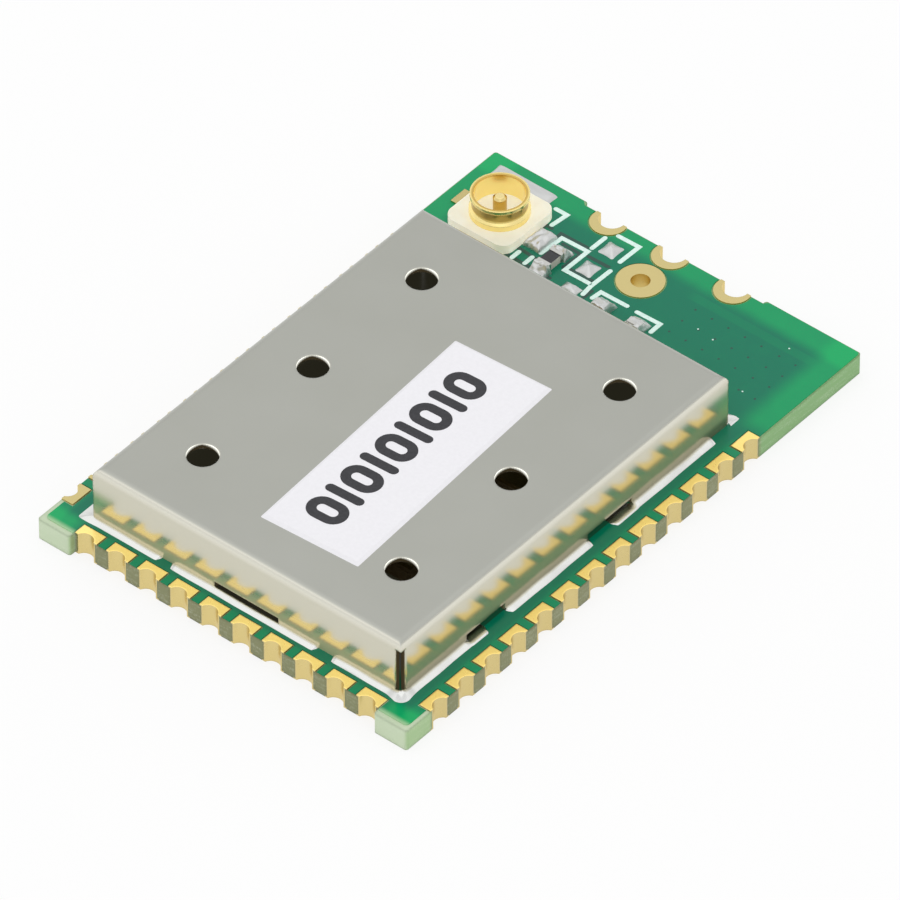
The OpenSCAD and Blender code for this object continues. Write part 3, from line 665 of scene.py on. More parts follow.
# Fired barium titanate: tan and dense
CAPACITOR_TAN = Moulded("titanate_fired_tan", "#b08a5c", "#a27d50", roughness=0.45, grain=0.12)
# Fired alumina: pale grey, slightly rough
INDUCTOR_GREY = Moulded("alumina_fired_pale", "#c9c4b4", "#bdb8a8", roughness=0.5, grain=0.1)
# Epoxy moulding compound: black with fine filler, with a painted glow of its own colour
PACKAGE_BLACK = Moulded("moulding_compound_black", "#24231d", "#2c2b24", roughness=0.55, grain=0.07, lift=0.9)
# Fired crystal case: brown alumina
CRYSTAL_CASE = Moulded("alumina_fired_brown", "#8c7a5c", "#7f6e52", roughness=0.5, grain=0.1)
# Co-fired ceramic block: slate blue
FILTER_BLUE = Moulded("ceramic_cofired_slate", "#7f97a8", "#74899a", roughness=0.45, grain=0.12)


@dataclass
class PieceMesh:
    """Vertices in millimetres and faces of one piece, gathered form by form."""

    vertices: list[Vector] = field(default_factory=list)
    faces: list[tuple[int, ...]] = field(default_factory=list)

    def add(self, points: Sequence[Sequence[float]], faces: Sequence[Sequence[int]]) -> None:
        """Adds a form.

        Args:
            points: Its vertices.
            faces: Its faces, as indices into those vertices.
        """
        start = len(self.vertices)
        self.vertices.extend(Vector(p) for p in points)
        self.faces.extend(tuple(start + i for i in face) for face in faces)

    def prism(self, loops: Sequence[Loop], low: float, high: float) -> None:
        """Adds a flat plate with an outline and holes.

        Args:
            loops: The outline, counter-clockwise, then the holes, clockwise.
            low: Height of its underside.
            high: Height of its upper side.
        """
        flat = [point for loop in loops for point in loop]
        count = len(flat)
        faces = []
        for a, b, c in geometry.tessellate_polygon([[Vector((x, y, 0)) for x, y in loop] for loop in loops]):
            ab, ac = Vector(flat[b]) - Vector(flat[a]), Vector(flat[c]) - Vector(flat[a])
            up = (a, b, c) if ab.cross(ac) > 0 else (a, c, b)
            faces += [up[::-1], tuple(count + i for i in up)]
        start = 0
        for size in map(len, loops):
            for i in range(size):
                a, b = start + i, start + (i + 1) % size
                faces.append((a, b, count + b, count + a))
            start += size
        self.add([(x, y, level) for level in (low, high) for x, y in flat], faces)

    def skin(self, rows: Sequence[Sequence[Sequence[float]]], ring: bool) -> None:
        """Adds a skin over rows of points, with a cap on each end where the rows are rings.

        Args:
            rows: Rows of equal length, one after the other along the form.
            ring: Whether each row closes on itself.
        """
        size = len(rows[0])
        last = size * (len(rows) - 1)
        faces = []
        for start in range(0, last, size):
            for i in range(size if ring else size - 1):
                a, b = start + i, start + (i + 1) % size
                faces.append((a, b, size + b, size + a))
        if ring:
            faces += [tuple(reversed(range(size))), tuple(range(last, last + size))]
        self.add([p for row in rows for p in row], faces)

    def piece(self, name: str, finish: Finish, slot: str, crease: float = 40.0) -> bpy.types.Object:
        """Makes the Blender object, which rides on the module.

        Args:
            name: The piece's name.
            finish: Its finish.
            slot: The record's material slot; not used.
            crease: Angle in degrees from which an edge stays sharp.

        Returns:
            The object.
        """
        mesh = bpy.data.meshes.new(name)
        mesh.from_pydata([v * MM for v in self.vertices], [], self.faces)
        mesh.update()
        mesh.shade_smooth()
        mesh.set_sharp_from_angle(angle=math.radians(crease))
        mesh.materials.append(finish.build())
        made = bpy.data.objects.new(name, mesh)
        bpy.context.scene.collection.objects.link(made)
        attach(made, "root")
        LOG.info("%s: %d faces", name, len(self.faces))
        return made


def arc(centre: Point, radius: float, start: float, stop: float, steps: int) -> Loop:
    """Points along a circle from one angle in degrees to another, both ends included."""
    angles = [math.radians(start + (stop - start) * i / steps) for i in range(steps + 1)]
    return [(centre[0] + radius * math.cos(a), centre[1] + radius * math.sin(a)) for a in angles]


def stroke(points: Sequence[Point], width: float, steps: int = 8) -> Loop:
    """Outline of a printed line with round ends and mitred corners.

    Args:
        points: The line's corner points.
        width: Its width.
        steps: Stretches in each round end.

    Returns:
        The outline, counter-clockwise.
    """
    line = [Vector(p) for p in points]
    half = width / 2
    ways = [(b - a).normalized() for a, b in zip(line, line[1:])]
    right, left = [], []
    for before, after, corner in zip(ways, ways[1:], line[1:]):
        bisector = (before + after).normalized()
        side = Vector((bisector.y, -bisector.x)) * (half / max(bisector.dot(after), 0.5))
        right.append(tuple(corner + side))
        left.insert(0, tuple(corner - side))
    head, tail = (math.degrees(math.atan2(way.y, way.x)) for way in (ways[0], ways[-1]))
    end = arc(tuple(line[-1]), half, tail - 90, tail + 90, steps)
    return right + end + left + arc(tuple(line[0]), half, head + 90, head + 270, steps)


def dress(finish: Finish, *nodes: str) -> None:
    """Gives CAD nodes a finish.

    Args:
        finish: The finish.
        *nodes: Names of the nodes.
    """
    for name in nodes:
        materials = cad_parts[name].data.materials
        materials.clear()
        materials.append(finish.build())
        LOG.info("%s: %s", name, finish.name)


def node_box(name: str) -> tuple[Vector, Vector]:
    """Gives a CAD node's lowest and highest corner in millimetres."""
    low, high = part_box(name)
    return low / MM, high / MM


@dataclass
class Board:
    """Laminate, its solder mask, the vias and copper gaps under the mask, and the printed legend, with painted glints
    on the mask, most beside the vias, and a band of painted shadow among the gaps.
    """

    mask_t: float = 0.03
    pad_pitch: float = 1.27
    pad_gap: float = 0.05
    tooth_rim: float = 0.02
    edge_rim: float = 0.04
    block_rim: float = 0.15
    block_round: float = 0.15
    block_steps: int = 5
    front_rim: float = 0.2
    end_round: float = 0.1
    end_steps: int = 4
    notch_pitch: float = 2.54
    notch_steps: int = 20
    route_land: float = 1.1
    route_slope: float = 0.16
    ring_steps: int = 48
    legend_w: float = 0.16
    legend_t: float = 0.014
    legend_lines: tuple[tuple[Point, ...], ...] = (
        ((-4.23, 10.28), (-3.77, 10.28), (-3.84, 9.6)),
        ((-3.26, 8.35), (-3.2, 9.33), (-2.16, 9.36), (-2.17, 8.21), (-1.16, 8.22)),
        ((-1.03, 9.1), (-1.05, 8.16), (-1.0, 7.7)),
        ((-2.15, 10.21), (-2.16, 9.57)),
        ((-1.88, 10.55), (-1.04, 10.57), (-1.06, 9.63)),
        ((-0.66, 7.75), (-0.62, 8.14), (0.43, 8.16)),
        ((0.85, 8.14), (1.77, 8.17), (1.78, 7.7)),
        ((-3.84, 7.6), (-3.84, 7.95)),
        ((-3.35, 7.65), (-3.35, 8.02)),
    )
    gap_w: float = 0.14
    gap_lines: tuple[tuple[Point, ...], ...] = (
        ((-3.97, 9.2), (-4.0, 9.5), (-3.75, 9.48)),
        ((-3.34, 9.02), (-3.36, 9.48), (-2.3, 9.5)),
        ((-3.0, 9.14), (-2.26, 9.12), (-2.3, 8.3)),
        ((-4.12, 8.09), (-3.7, 8.08), (-3.2, 8.04)),
        # Partly painted shadow: the dark band between the receptacle and the can, over a gap in the copper
        ((-4.1, 7.62), (-2.3, 7.62)),
        ((-2.05, 8.36), (-1.2, 8.38)),
        ((-2.0, 9.2), (-1.2, 9.22)),
        ((-0.9, 7.6), (-0.88, 8.0)),
    )
    film_t: float = 0.002
    via_r: float = 0.04
    via_steps: int = 12
    via_x: tuple[float, ...] = (2.2, 2.87, 3.54, 4.21, 4.88, 5.6, 6.26)
    via_y: tuple[float, ...] = (7.38, 8.1, 8.75, 9.42)
    # Painted highlights: bright dots in legend ink stand for glints on the mask, most beside the vias
    mask_glint_r: float = 0.03
    mask_glint_steps: int = 8
    mask_glints: tuple[Point, ...] = ((2.84, 8.76), (3.51, 8.67), (5.75, 7.39), (5.63, 9.89))

    def __post_init__(self) -> None:
        """Reads the outlines that the mask follows from the frame."""
        self.low, self.high = node_box("board")
        self.front_low, self.front_high = node_box("front_pads")
        self.side_low, self.side_high = node_box("right_pads")
        self.notch_low, self.notch_high = node_box("antenna_edge_pads")
        self.ring_low, self.ring_high = node_box("antenna_hole_ring")
        row = self.front_high.x - self.front_low.x
        self.pad_w = row - self.pad_pitch * round(row / self.pad_pitch - 0.5)

    def pad_spans(self, low: float, high: float) -> list[Point]:
        """Mask openings along an edge.

        Args:
            low: Where the first pad starts.
            high: Where the last pad ends.

        Returns:
            Start and end of each opening.
        """
        count = round((high - low - self.pad_w) / self.pad_pitch) + 1
        starts = [low + i * self.pad_pitch - self.pad_gap for i in range(count)]
        return [(start, start + self.pad_w + 2 * self.pad_gap) for start in starts]

    @staticmethod
    def notched(spans: Sequence[Point], before: float, between: float, after: float, depth: float) -> Loop:
        """Edge of the mask with a notch round each pad.

        Args:
            spans: The notches, along the edge.
            before: The mask's edge line ahead of the first notch.
            between: The edge line between notches.
            after: The edge line past the last notch.
            depth: The line of the notches' ends.

        Returns:
            Points as (place along the edge, line).
        """
        points: Loop = []
        for start, stop in spans:
            points += [(start, between), (start, depth), (stop, depth), (stop, between)]
        return [(spans[0][0], before)] + points[1:-1] + [(spans[-1][1], after)]

    def mask_outline(self) -> Loop:
        """Outline of the mask, counter-clockwise from the front left corner block.

        Returns:
            The outline.
        """
        half, block, edge = self.high.x, self.low.y + self.front_rim, self.high.y - self.edge_rim
        row = self.pad_spans(self.front_low.x, self.front_high.x)
        ahead = self.notched(row, block, self.front_low.y + self.tooth_rim, block, self.front_high.y + self.pad_gap)
        column = self.pad_spans(self.side_low.y, self.side_high.y)
        lines = [half - rim for rim in (self.block_rim, self.tooth_rim, self.edge_rim)]
        right = self.notched(column, *lines, self.side_low.x - self.pad_gap)
        corner = self.block_round
        turn = half - self.block_rim - corner
        outline = arc((-turn, block + corner), corner, 180, 270, self.block_steps) + ahead
        outline += arc((turn, block + corner), corner, 270, 360, self.block_steps) + [(x, y) for y, x in right]
        routed = self.notch_high.y - self.edge_rim
        land = (self.notch_high.x - self.notch_low.x) / 2 - self.notch_pitch
        opening = land + self.pad_gap
        level = self.notch_low.y + land
        rise = math.degrees(math.asin((routed - level) / opening))
        corner, pitch = self.end_round, self.notch_pitch
        inset, slope = self.edge_rim + corner, self.route_land + self.route_slope
        outline += arc((half - inset, edge - corner), corner, 0, 90, self.end_steps)
        outline += [(pitch + slope, edge), (pitch + self.route_land, routed)]
        for i in (1, 0, -1):
            outline += arc((i * pitch, level), opening, rise, -180 - rise, self.notch_steps)
        outline += [(-pitch - self.route_land, routed), (-pitch - slope, edge)]
        outline += arc((inset - half, edge - corner), corner, 90, 180, self.end_steps)
        return outline + [(-x, y) for y, x in reversed(right)]

    def build(self) -> None:
        """Builds the mask, what shows through it and the legend, and dresses the laminate."""
        face = self.high.z + self.mask_t
        ring = tuple((low + high) / 2 for low, high in zip(self.ring_low.xy, self.ring_high.xy))
        radius = (self.ring_high.x - self.ring_low.x) / 2 + self.pad_gap
        mask = PieceMesh()
        mask.prism([self.mask_outline(), arc(ring, radius, 360, 0, self.ring_steps)[:-1]], self.high.z, face)
        mask.piece("solder_mask_sheet", SOLDER_MASK, "solder_mask")
        dark, printed = PieceMesh(), PieceMesh()
        vias = [(x, y) for x in self.via_x for y in self.via_y]
        for mesh, height, lines, width, spots, radius, steps in (
            (dark, self.film_t, self.gap_lines, self.gap_w, vias, self.via_r, self.via_steps),
            (printed, self.legend_t, self.legend_lines, self.legend_w, self.mask_glints, self.mask_glint_r, self.mask_glint_steps),
        ):
            loops = [stroke(line, width) for line in lines]
            for loop in loops + [arc(spot, radius, 0, 360, steps)[:-1] for spot in spots]:
                mesh.prism([loop], face, face + height)
        dark.piece("mask_over_gaps", MASK_GAP, "solder_mask")
        # The legend's piece also holds the painted glints
        printed.piece("legend_and_painted_glints", LEGEND_INK, "label_paper")
        dress(LAMINATE, "board")


class Heap(Enum):
    """Forms that solder takes."""

    STAR = "star"
    PLATE = "plate"
    LUMP = "lump"
    CLIMB = "climb"


@dataclass
class SolderHeap:
    """One heap of solder on a pad, from a grid of heights."""

    centre: Point
    length: float
    width: float
    height: float
    form: Heap
    turn: float = 0.0
    pull: float = 0.1
    lump: float = 0.12
    seed: float = 0.0
    climb: float = 0.55
    steps: int = 24
    waves: float = 1.9

    def level(self, u: float, v: float) -> float:
        """Height at a place on the pad.

        Args:
            u: Place along the heap, from -1 to 1.
            v: Place across it, from -1 to 1.

        Returns:
            The height over the pad.
        """
        # The powers say how full each form is: a low one stands up at once from its rim
        bulge = max(1 - v * v, 0.0) ** 0.55
        if self.form is Heap.STAR:
            rise = max(1 - (u**6 + v**6) ** (1 / 6), 0.0) ** 0.8
        elif self.form is Heap.PLATE:
            rise = max(1 - u**6, 0.0) ** 0.5 * max(1 - v**10, 0.0) ** 0.5
        elif self.form is Heap.LUMP:
            rise = max(1 - u * u, 0.0) ** 0.5 * bulge
        else:
            along = (u + 1) / 2
            fall = max(along - self.climb, 0.0) / (1 - self.climb)
            toe = min((1 - along) * 8, 1.0) ** 0.5
            rise = (1 - 0.7 * fall**0.9) * toe * min(along * 9, 1.0) * min(bulge * 1.6, 1.0)
        bump = noise.noise(Vector((u * self.waves + self.seed, v * self.waves, self.seed * 3)))
        return self.height * rise * (1 + self.lump * bump)

    def add_to(self, mesh: PieceMesh, base: float) -> None:
        """Adds the heap to a mesh.

        Args:
            mesh: The mesh that takes it.
            base: Height of the pad's face.
        """
        spin = Matrix.Rotation(math.radians(self.turn), 2)
        places = [2 * i / self.steps - 1 for i in range(self.steps + 1)]
        rows = []
        for v in places:
            row = []
            for u in places:
                along = u * self.length / 2 * (1 - self.pull * (1 - v * v))
                across = v * self.width / 2 * (1 - self.pull * (1 - u * u))
                at = spin @ Vector((along, across)) + Vector(self.centre)
                row.append((at.x, at.y, base + self.level(u, v)))
            rows.append(row)
        mesh.skin(rows, ring=False)


class Side(Enum):
    """Walls of the can, in the order in which the soldered joint runs round them."""

    FRONT = 0
    RIGHT = 1
    BACK = 2
    LEFT = 3


@dataclass
class ShieldCan:
    """Folded can and the soldered joint that runs round its foot.

    Tuples of four go round the can: walls in the order of Side, corners from the front left one. The two sizes of a
    fan are how far the solder reaches out ahead of a corner and past it.
    """

    solder_w: tuple[float, ...] = (0.27, 0.32, 0.4, 0.5)
    solder_h: float = 0.125
    uneven_w: float = 0.08
    uneven_h: float = 0.2
    waves: Point = (0.9, 0.7)
    bead: float = 1.8
    bead_steps: int = 14
    fans: tuple[Point, ...] = ((0.5, 0.3), (0.34, 0.34), (0.15, 0.54), (0.28, 0.28))
    fan_length: float = 0.4
    squares: tuple[float, ...] = (8.0, 2.0, 12.0, 2.0)
    rises: tuple[float, ...] = (1.0, 2.1, 1.0, 1.0)
    end_gaps: tuple[Point, ...] = ((3.03, 0.41), (9.47, 0.6))
    side_gaps: tuple[Point, ...] = ((4.48, 1.0), (9.6, 1.0), (15.54, 0.76))
    side_slots: tuple[Point, ...] = ((4.08, 1.85), (10.15, 2.2))
    slot_rise: float = 0.06
    slot_bead: float = 8.0
    slot_depth: float = 0.2
    left_track: float = 0.36
    back_track: float = 0.38
    track_end: float = 0.1
    track_t: float = 0.036
    step: float = 0.1
    corner_steps: int = 20
    corner_near: float = 0.05
    corner_split: float = 1e-4
    end_round: float = 0.14
    end_least: float = 0.25

    def __post_init__(self) -> None:
        """Reads the can's outline from the frame."""
        self.low, self.high = node_box("shield_can")
        self.width = self.high.x - self.low.x
        self.length = self.high.y - self.low.y
        self.around = 2 * (self.width + self.length)

    def spans(self, ends: Sequence[Point], sides: Sequence[Point]) -> list[Point]:
        """Stretches along the foot's outline, counted from the front left corner round by the right.

        Args:
            ends: Middle and length of each stretch on an end wall, from its left corner.
            sides: The same on a long wall, from its front corner.

        Returns:
            Start and stop of each stretch, in order.
        """
        found = []
        for side in Side:
            start = (side.value + 1) // 2 * self.width + side.value // 2 * self.length
            size, stretches = (self.width, ends) if side in (Side.FRONT, Side.BACK) else (self.length, sides)
            for middle, length in stretches:
                at = middle if side in (Side.FRONT, Side.RIGHT) else size - middle
                found.append((start + at - length / 2, start + at + length / 2))
        return sorted(found)

    def foot(self, place: float) -> tuple[Vector, Vector]:
        """Point of the foot's outline and the way out from its wall.

        Args:
            place: Distance along the outline.

        Returns:
            The point and the outward direction.
        """
        (left, front), (right, back) = self.low.xy, self.high.xy
        corners = [Vector(corner) for corner in ((left, front), (right, front), (right, back), (left, back))]
        rest = place % self.around
        for i, corner in enumerate(corners):
            way = corners[(i + 1) % 4] - corner
            if rest <= way.length:
                ahead = way.normalized()
                return corner + ahead * rest, Vector((ahead.y, -ahead.x))
            rest -= way.length
        return corners[0], Vector((0, -1))

    def section(self, place: float, reach: float, under: float, rise: float, bead: float, seed: float) -> Loop:
        """Section of the joint: a bead that is steep at its outer edge and eases off towards the wall.

        Args:
            place: Distance along the outline, which steers the unevenness.
            reach: How far the solder reaches out from the wall.
            under: How far it runs in under an open slot.
            rise: How far it climbs the wall.
            bead: How steep its outer edge is.
            seed: Keeps the strips from being alike.

        Returns:
            Points as (distance from the wall, height).
        """
        width = reach * (1 + self.uneven_w * noise.noise(Vector((place * self.waves[0], seed, 0.0))))
        height = rise * (1 + self.uneven_h * noise.noise(Vector((place * self.waves[1], seed, 9.0))))
        outs = [1 - i / self.bead_steps for i in range(self.bead_steps)]
        return [(-under, 0.0)] + [(width * out, height * (1 - out**bead)) for out in outs] + [(-under, height)]

    def add_strip(self, mesh: PieceMesh, start: float, stop: float, seed: float) -> None:
        """Adds one strip of solder between two gaps.

        Args:
            mesh: The mesh that takes it.
            start: Where it starts along the outline.
            stop: Where it stops.
            seed: Keeps the strips from being alike.
        """
        bends = [0.0, self.width, self.width + self.length, 2 * self.width + self.length, self.around]
        corners = [(c, self.fans[i % 4], self.rises[i % 4], self.squares[i % 4]) for i, c in enumerate(bends)]
        slots = self.spans((), self.side_slots)
        split = self.corner_split
        count = max(round((stop - start) / self.step), 4)
        places = [start + (stop - start) * k / count for k in range(count + 1)]
        places += [c + split * s for c in bends for s in (-1, 1) if start < c < stop]
        free = [end for end in (start, stop) if all(abs(end - c) > self.corner_near for c in bends)]
        rows = []
        for place in sorted(places):
            spot = place % self.around
            share = min(min((abs(place - end) for end in free), default=1.0) / self.end_round, 1.0)
            taper = max(math.sqrt(1 - (1 - share) ** 2), self.end_least)
            wide = self.solder_w[sum(spot >= c for c in bends[1:4])]
            near, fan, steep, square = min(corners, key=lambda c: abs(place - c[0]))
            blend = max(1 - abs(place - near) / self.fan_length, 0.0)
            reach = wide * taper + (fan[place > near] - wide) * blend
            rise, bead = self.solder_h * taper**0.6 * (1 + (steep - 1) * blend**2), self.bead
            under = max(max(min(spot - low, high - spot) for low, high in slots), 0.0)
            if under:
                rise, bead = self.slot_rise, self.slot_bead
            shape = self.section(place, reach, min(under, self.slot_depth), rise, bead, seed)
            base, away = self.foot(place)
            turns = [0.0]
            if abs(place - (near + split)) < split / 100:
                turns = [90.0 * (k / self.corner_steps - 1) for k in range(self.corner_steps + 1)]
            for turn in turns:
                angle = math.radians(turn)
                ahead, aside = math.cos(angle) / fan[1], math.sin(-angle) / fan[0]
                stretch = (ahead**square + aside**square) ** (-1 / square) / fan[1] if len(turns) > 1 else 1.0
                way = Matrix.Rotation(angle, 2) @ away * stretch
                rows.append([(base.x + way.x * d, base.y + way.y * d, self.low.z + h) for d, h in shape])
        mesh.skin(rows, ring=True)

    def build(self) -> None:
        """Builds the strips between the gaps and the two wide tinned tracks, and dresses the can."""
        gaps = self.spans(self.end_gaps, self.side_gaps)
        solder = PieceMesh()
        for i, gap in enumerate(gaps):
            after = gaps[(i + 1) % len(gaps)][0] + (self.around if i == len(gaps) - 1 else 0)
            self.add_strip(solder, gap[1], after, float(i))
        left, right = self.low.x - self.left_track, self.high.x + self.track_end
        front, back = self.low.y, self.high.y + self.back_track
        inner = [(self.low.x, front), (self.low.x, self.high.y), (right, self.high.y)]
        tracks = [(left, front), *inner, (right, back), (left, back)]
        solder.prism([tracks], self.low.z, self.low.z + self.track_t)
        strips = solder.piece("shield_solder_strips", SOLDER, "solder", crease=85)
        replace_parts(strips, "shield_solder")
        dress(TIN_PLATE, "shield_can")


class Mark(Enum):
    """Plain shapes of the label's print."""

    RING = "ring"
    BAR = "bar"


@dataclass
class Label:
    """White label with a row of plain printed shapes."""

    width: float = 3.78
    length: float = 10.1
    turn: float = 3.0
    ink_t: float = 0.006
    corner: float = 0.05
    corner_steps: int = 4
    press: float = 0.12
    cap: float = 1.45
    line: float = 0.34
    ring_w: float = 1.02
    ring_steps: int = 14
    hole_steps: int = 10
    gap: float = 0.21
    middle: Point = (-0.35, -0.08)
    marks: tuple[Mark, ...] = (Mark.RING, Mark.BAR) * 4 + (Mark.RING,)

    def __post_init__(self) -> None:
        """Reads the label's place from the frame."""
        low, high = node_box("label")
        self.centre = (low + high) / 2
        self.bottom, self.top = low.z, high.z

    def placed(self, loop: Loop) -> Loop:
        """Turns an outline with the label and moves it to its place."""
        spin = Matrix.Rotation(math.radians(self.turn), 2)
        return [tuple(spin @ Vector(p) + self.centre.xy) for p in loop]

    def oval(self, at: float, inset: float, steps: int) -> Loop:
        """Outline with round ends across the label's length.

        Args:
            at: Its middle along the print.
            inset: How far it lies inside the ring's outer outline.
            steps: Stretches in each round end.

        Returns:
            The outline, counter-clockwise.
        """
        radius = self.ring_w / 2 - inset
        reach = self.cap / 2 - self.ring_w / 2
        x, y = self.middle
        return arc((x + reach, y + at), radius, -90, 90, steps) + arc((x - reach, y + at), radius, 90, 270, steps)

    def print_loops(self) -> list[list[Loop]]:
        """Outlines of the print.

        Returns:
            For each mark its outline and, on a ring, its hole.
        """
        sizes = [self.ring_w if mark is Mark.RING else self.line for mark in self.marks]
        at = -(sum(sizes) + self.gap * (len(sizes) - 1)) / 2
        x, y = self.middle
        half = self.cap / 2 - self.line / 2
        found = []
        for mark, size in zip(self.marks, sizes):
            middle = at + size / 2
            if mark is Mark.RING:
                hole = self.oval(middle, self.line, self.hole_steps)
                found.append([self.oval(middle, 0.0, self.ring_steps), hole[::-1]])
            else:
                found.append([stroke([(x - half, y + middle), (x + half, y + middle)], self.line)])
            at += size + self.gap
        return found

    def build(self) -> None:
        """Builds the paper and its print, in the room of the label's solid."""
        paper, ink, rows = PieceMesh(), PieceMesh(), []
        face = self.top - self.ink_t
        for inset, level in ((0.0, self.bottom), (self.press, face)):
            x, y = self.width / 2 - inset - self.corner, self.length / 2 - inset - self.corner
            outline: Loop = []
            for start, centre in ((-90, (x, -y)), (0, (x, y)), (90, (-x, y)), (180, (-x, -y))):
                outline += arc(centre, self.corner, start, start + 90, self.corner_steps)
            rows.append([(*point, level) for point in self.placed(outline)])
        paper.skin(rows, ring=True)
        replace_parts(paper.piece("label_paper_sheet", LABEL_PAPER, "label_paper", crease=20), "label")
        for loops in self.print_loops():
            ink.prism([self.placed(loop) for loop in loops], face, self.top)
        ink.piece("label_print", TONER, "package_black")


@dataclass
class AntennaEnd:
    """Micro coax receptacle, chip parts and solder between the can and the antenna edge."""

    base_side: float = 1.3
    foot_reach: float = 0.72
    signal_w: float = 1.0
    ground_w: float = 2.5
    ground_shift: float = -0.45
    signal_h: float = 0.25
    ground_h: float = 0.16
    empty_pads: tuple[Point, ...] = ((-1.63, 8.73), (-1.63, 9.88))
    empty_size: Point = (0.74, 0.7)
    empty_h: float = 0.2
    hidden_pad: Point = (-1.45, 7.62)
    hidden_size: Point = (0.5, 0.72)
    chips: tuple[Point, ...] = ((-2.73, 8.16), (-0.1, 7.12), (1.3, 7.12))
    chip_half: float = 0.5
    covers: tuple[float, ...] = (0.2, 0.45, 0.45)
    fillet_l: float = 0.34
    fillet_w: float = 0.7
    cap_h: float = 0.37
    mask_t: float = 0.03

    def __post_init__(self) -> None:
        """Reads the receptacle's place from the frame."""
        low, high = node_box("coax_base")
        self.coax = (low + high) / 2
        self.level = low.z

    def build_solder(self) -> None:
        """Builds the heaps of solder that stand for the plain solids."""
        x, y = self.coax.xy
        out = self.base_side + self.foot_reach / 2
        signal, ground, domes, hidden, fillets = (PieceMesh() for _ in range(5))
        size = (self.foot_reach, self.signal_w, self.signal_h)
        SolderHeap((x + out, y), *size, Heap.PLATE, pull=0.06, lump=0.3, seed=1.3).add_to(signal, self.level)
        signal.piece("coax_signal_joint", SOLDER_DULL, "solder")
        size = (self.foot_reach, self.ground_w, self.ground_h)
        for way, seed in ((1, 2.1), (-1, 5.4)):
            at = (x + self.ground_shift, y + way * out)
            SolderHeap(at, *size, Heap.PLATE, turn=90, pull=0.03, seed=seed).add_to(ground, self.level)
        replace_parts(ground.piece("coax_ground_joints", SOLDER_DULL, "solder"), "coax_solder")
        for i, pad in enumerate(self.empty_pads):
            heap = SolderHeap(pad, *self.empty_size, self.empty_h, Heap.STAR, turn=90, pull=0.14, seed=7.0 + i)
            heap.add_to(domes, self.level + self.mask_t / 2)
        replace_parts(domes.piece("empty_pad_domes", SOLDER_DULL, "solder", crease=70), "empty_pad_solder")
        heap = SolderHeap(self.hidden_pad, *self.hidden_size, self.empty_h, Heap.LUMP, turn=90, seed=4.4)
        heap.add_to(hidden, self.level)
        hidden.piece("pad_solder_by_can", SOLDER_DULL, "solder")
        for i, ((cx, cy), cover) in enumerate(zip(self.chips, self.covers)):
            size = (cover + self.fillet_l, self.fillet_w, self.cap_h)
            for end in (-1, 1):
                at = (cx, cy + end * (self.chip_half + (self.fillet_l - cover) / 2))
                heap = SolderHeap(at, *size, Heap.CLIMB, turn=end * 90, pull=0.04, lump=0.25, seed=i * 2.7 + end)
                heap.climb = cover / size[0]
                heap.add_to(fillets, self.level)
        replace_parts(fillets.piece("chip_solder_fillets", SOLDER_DULL, "solder"), "outer_chip_solder")

    def build(self) -> None:
        """Builds the solder and dresses the parts."""
        self.build_solder()
        dress(IVORY, "coax_base")
        dress(CONTACT_GOLD, "coax_shell")
        dress(PIN_GOLD, "coax_pin")
        dress(RESISTOR_BLACK, "series_resistor")
        dress(CAPACITOR_TAN, "matching_capacitor")
        dress(INDUCTOR_GREY, "matching_inductor")
        dress(END_TIN, "outer_chip_caps")


@dataclass
class PlatedEdges:
    """Edge pads and the antenna's plated holes."""

    def build(self) -> None:
        """Dresses the plated nodes."""
        dress(FRONT_GOLD, "front_pads")
        dress(EDGE_GOLD, "right_pads")
        dress(RING_GOLD, "left_pads", "antenna_edge_pads", "antenna_hole_ring")


@dataclass
class PartsUnderCan:
    """Chips, crystals and small parts that the can covers."""

    def build(self) -> None:
        """Dresses the covered nodes."""
        dress(PACKAGE_BLACK, "controller_chip", "transceiver_chip")
        dress(END_TIN, "controller_leads", "transceiver_leads", "inner_chip_caps")
        dress(CRYSTAL_CASE, "radio_crystal_case", "clock_crystal_case")
        dress(CRYSTAL_LID, "radio_crystal_lid", "clock_crystal_lid")
        dress(FILTER_BLUE, "harmonic_filter")
        dress(CAPACITOR_TAN, "inner_capacitors")
        dress(INDUCTOR_GREY, "balun_inductors")
        dress(RESISTOR_BLACK, "bias_resistors")


@dataclass(frozen=True)
class PaleFloor(Finish):
    """White sweep of a photo table: it keeps a soft shadow, and is white elsewhere."""

    colour: str = "#fafafa"
    lift: float = 0.8

    def surface(self, add: Adder) -> Node:
        """Adds a matt white that the camera and mirrors see lifted towards plain white.

        Args:
            add: Adds a node to the material.

        Returns:
            The shader node.
        """
        path = add("LightPath").outputs
        seen = add("Math", (path["Is Camera Ray"], path["Is Glossy Ray"]), operation="MAXIMUM")
        seen = add("Math", (seen, path["Is Transmission Ray"]), operation="MAXIMUM")
        amount = add("Math", (seen, self.lift), operation="MULTIPLY")
        matt = add("BsdfDiffuse", {"Color": self.colour})
        return add("MixShader", (amount, matt, add("Emission", {"Color": WHITE, "Strength": 1.0})))


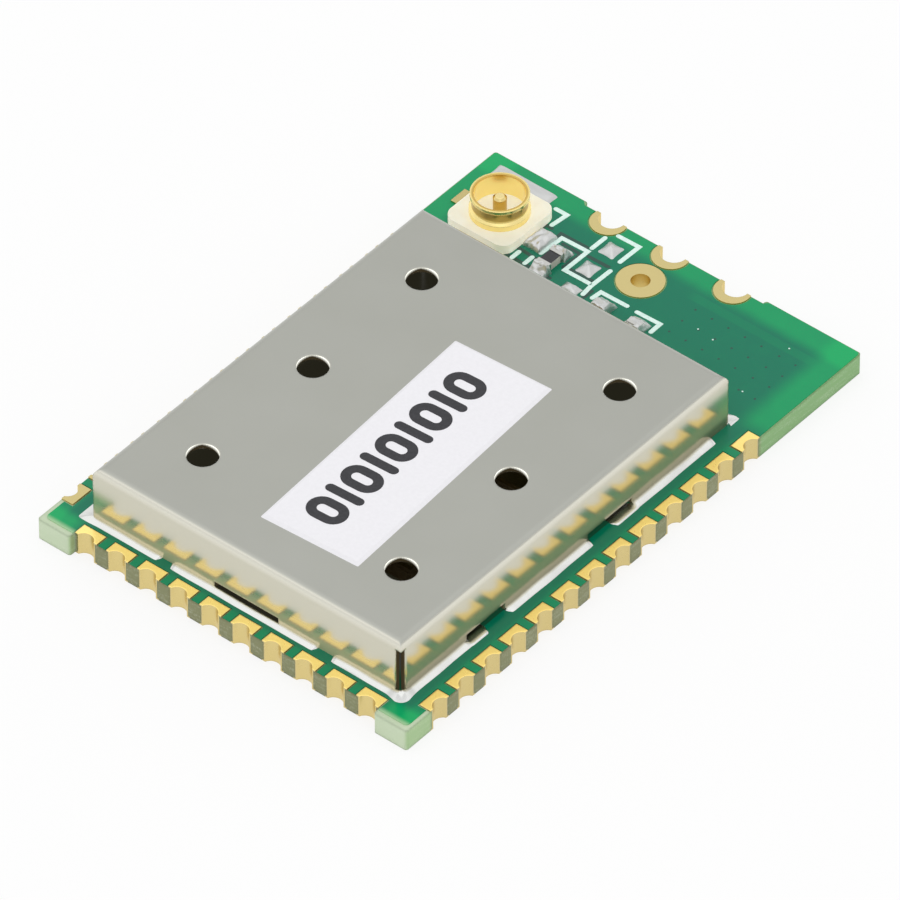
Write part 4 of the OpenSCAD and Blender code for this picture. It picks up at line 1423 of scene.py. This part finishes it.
@dataclass
class Studio:
    """Photo table: pale floor, white surroundings, one large soft box overhead, and the camera."""

    azimuth: float = 39.755
    elevation: float = 42.842
    distance: float = 453.5
    focal_px: float = 14453.0
    frame_px: float = 900.0
    aim: Point = (-0.060, -0.451)
    aim_z: float = 0.8
    sensor: float = 36.0
    clip: Point = (0.01, 20.0)
    floor_half: float = 1500.0
    floor_drop: float = 0.02
    ceiling: float = 0.84
    horizon: Point = (18.0, 36.0)
    box_side: float = 480.0
    box_height: float = 320.0
    box_radiance: float = 0.3

    def build_camera(self) -> None:
        """Sets the camera at the photograph's viewing angle."""
        az, el = math.radians(self.azimuth), math.radians(self.elevation)
        back = Vector((math.sin(az) * math.cos(el), -math.cos(az) * math.cos(el), math.sin(el)))
        right = Vector((math.cos(az), math.sin(az), 0))
        up = back.cross(right)
        place = back * self.distance + right * self.aim[0] + up * self.aim[1] + Vector((0, 0, self.aim_z))
        lens = bpy.data.cameras.new("camera")
        lens.sensor_width = self.sensor
        lens.lens = self.focal_px / self.frame_px * self.sensor
        lens.clip_start, lens.clip_end = self.clip
        camera = bpy.data.objects.new("camera", lens)
        camera.matrix_world = Matrix.Translation(place * MM) @ Matrix((right, up, back)).transposed().to_4x4()
        bpy.context.scene.collection.objects.link(camera)
        bpy.context.scene.camera = camera

    def build_floor(self) -> None:
        """Lays the floor just under the board."""
        reach = self.floor_half * MM
        mesh = bpy.data.meshes.new("floor")
        corners = [(-reach, -reach, 0), (reach, -reach, 0), (reach, reach, 0), (-reach, reach, 0)]
        mesh.from_pydata(corners, [], [(0, 1, 2, 3)])
        mesh.materials.append(PaleFloor("photo_table_white").build())
        floor = bpy.data.objects.new("floor", mesh)
        floor.location.z = -self.floor_drop * MM
        bpy.context.scene.collection.objects.link(floor)

    def build_world(self) -> None:
        """Makes the surroundings: white round the horizon, a greyer ceiling above."""
        world = bpy.data.worlds.new("studio")
        world.use_nodes = True
        world.node_tree.nodes.clear()
        add = partial(add_node, world.node_tree)
        way = add("SeparateXYZ", (add("TexCoord").outputs["Generated"],)).outputs
        low, high = (math.sin(math.radians(angle)) for angle in self.horizon)
        rise = {"Value": way["Z"], "From Min": low, "From Max": high, "To Min": 1.0, "To Max": self.ceiling}
        strength = add("MapRange", rise, interpolation_type=Ramp.SOFT.value)
        add("OutputWorld", {"Surface": add("Background", {"Color": WHITE, "Strength": strength})})
        bpy.context.scene.world = world

    def build_light(self) -> None:
        """Hangs the soft box overhead."""
        side = self.box_side * MM
        lamp = bpy.data.lights.new("soft_box", "AREA")
        lamp.shape = "SQUARE"
        lamp.size = side
        lamp.energy = self.box_radiance * math.pi * side * side
        box = bpy.data.objects.new("soft_box", lamp)
        box.location.z = self.box_height * MM
        bpy.context.scene.collection.objects.link(box)

    def build(self) -> None:
        """Builds the studio round the module."""
        bpy.context.scene.view_settings.view_transform = "Standard"
        self.build_floor()
        self.build_world()
        self.build_light()
        self.build_camera()


def main() -> None:
    """Builds the module's looks and the studio, in order."""
    logging.basicConfig(level=logging.INFO, format="%(name)s: %(message)s")
    for part in (Board(), PlatedEdges(), ShieldCan(), Label(), AntennaEnd(), PartsUnderCan(), Studio()):
        LOG.info("building %s", type(part).__name__)
        part.build()


if __name__ == "__main__":
    main()
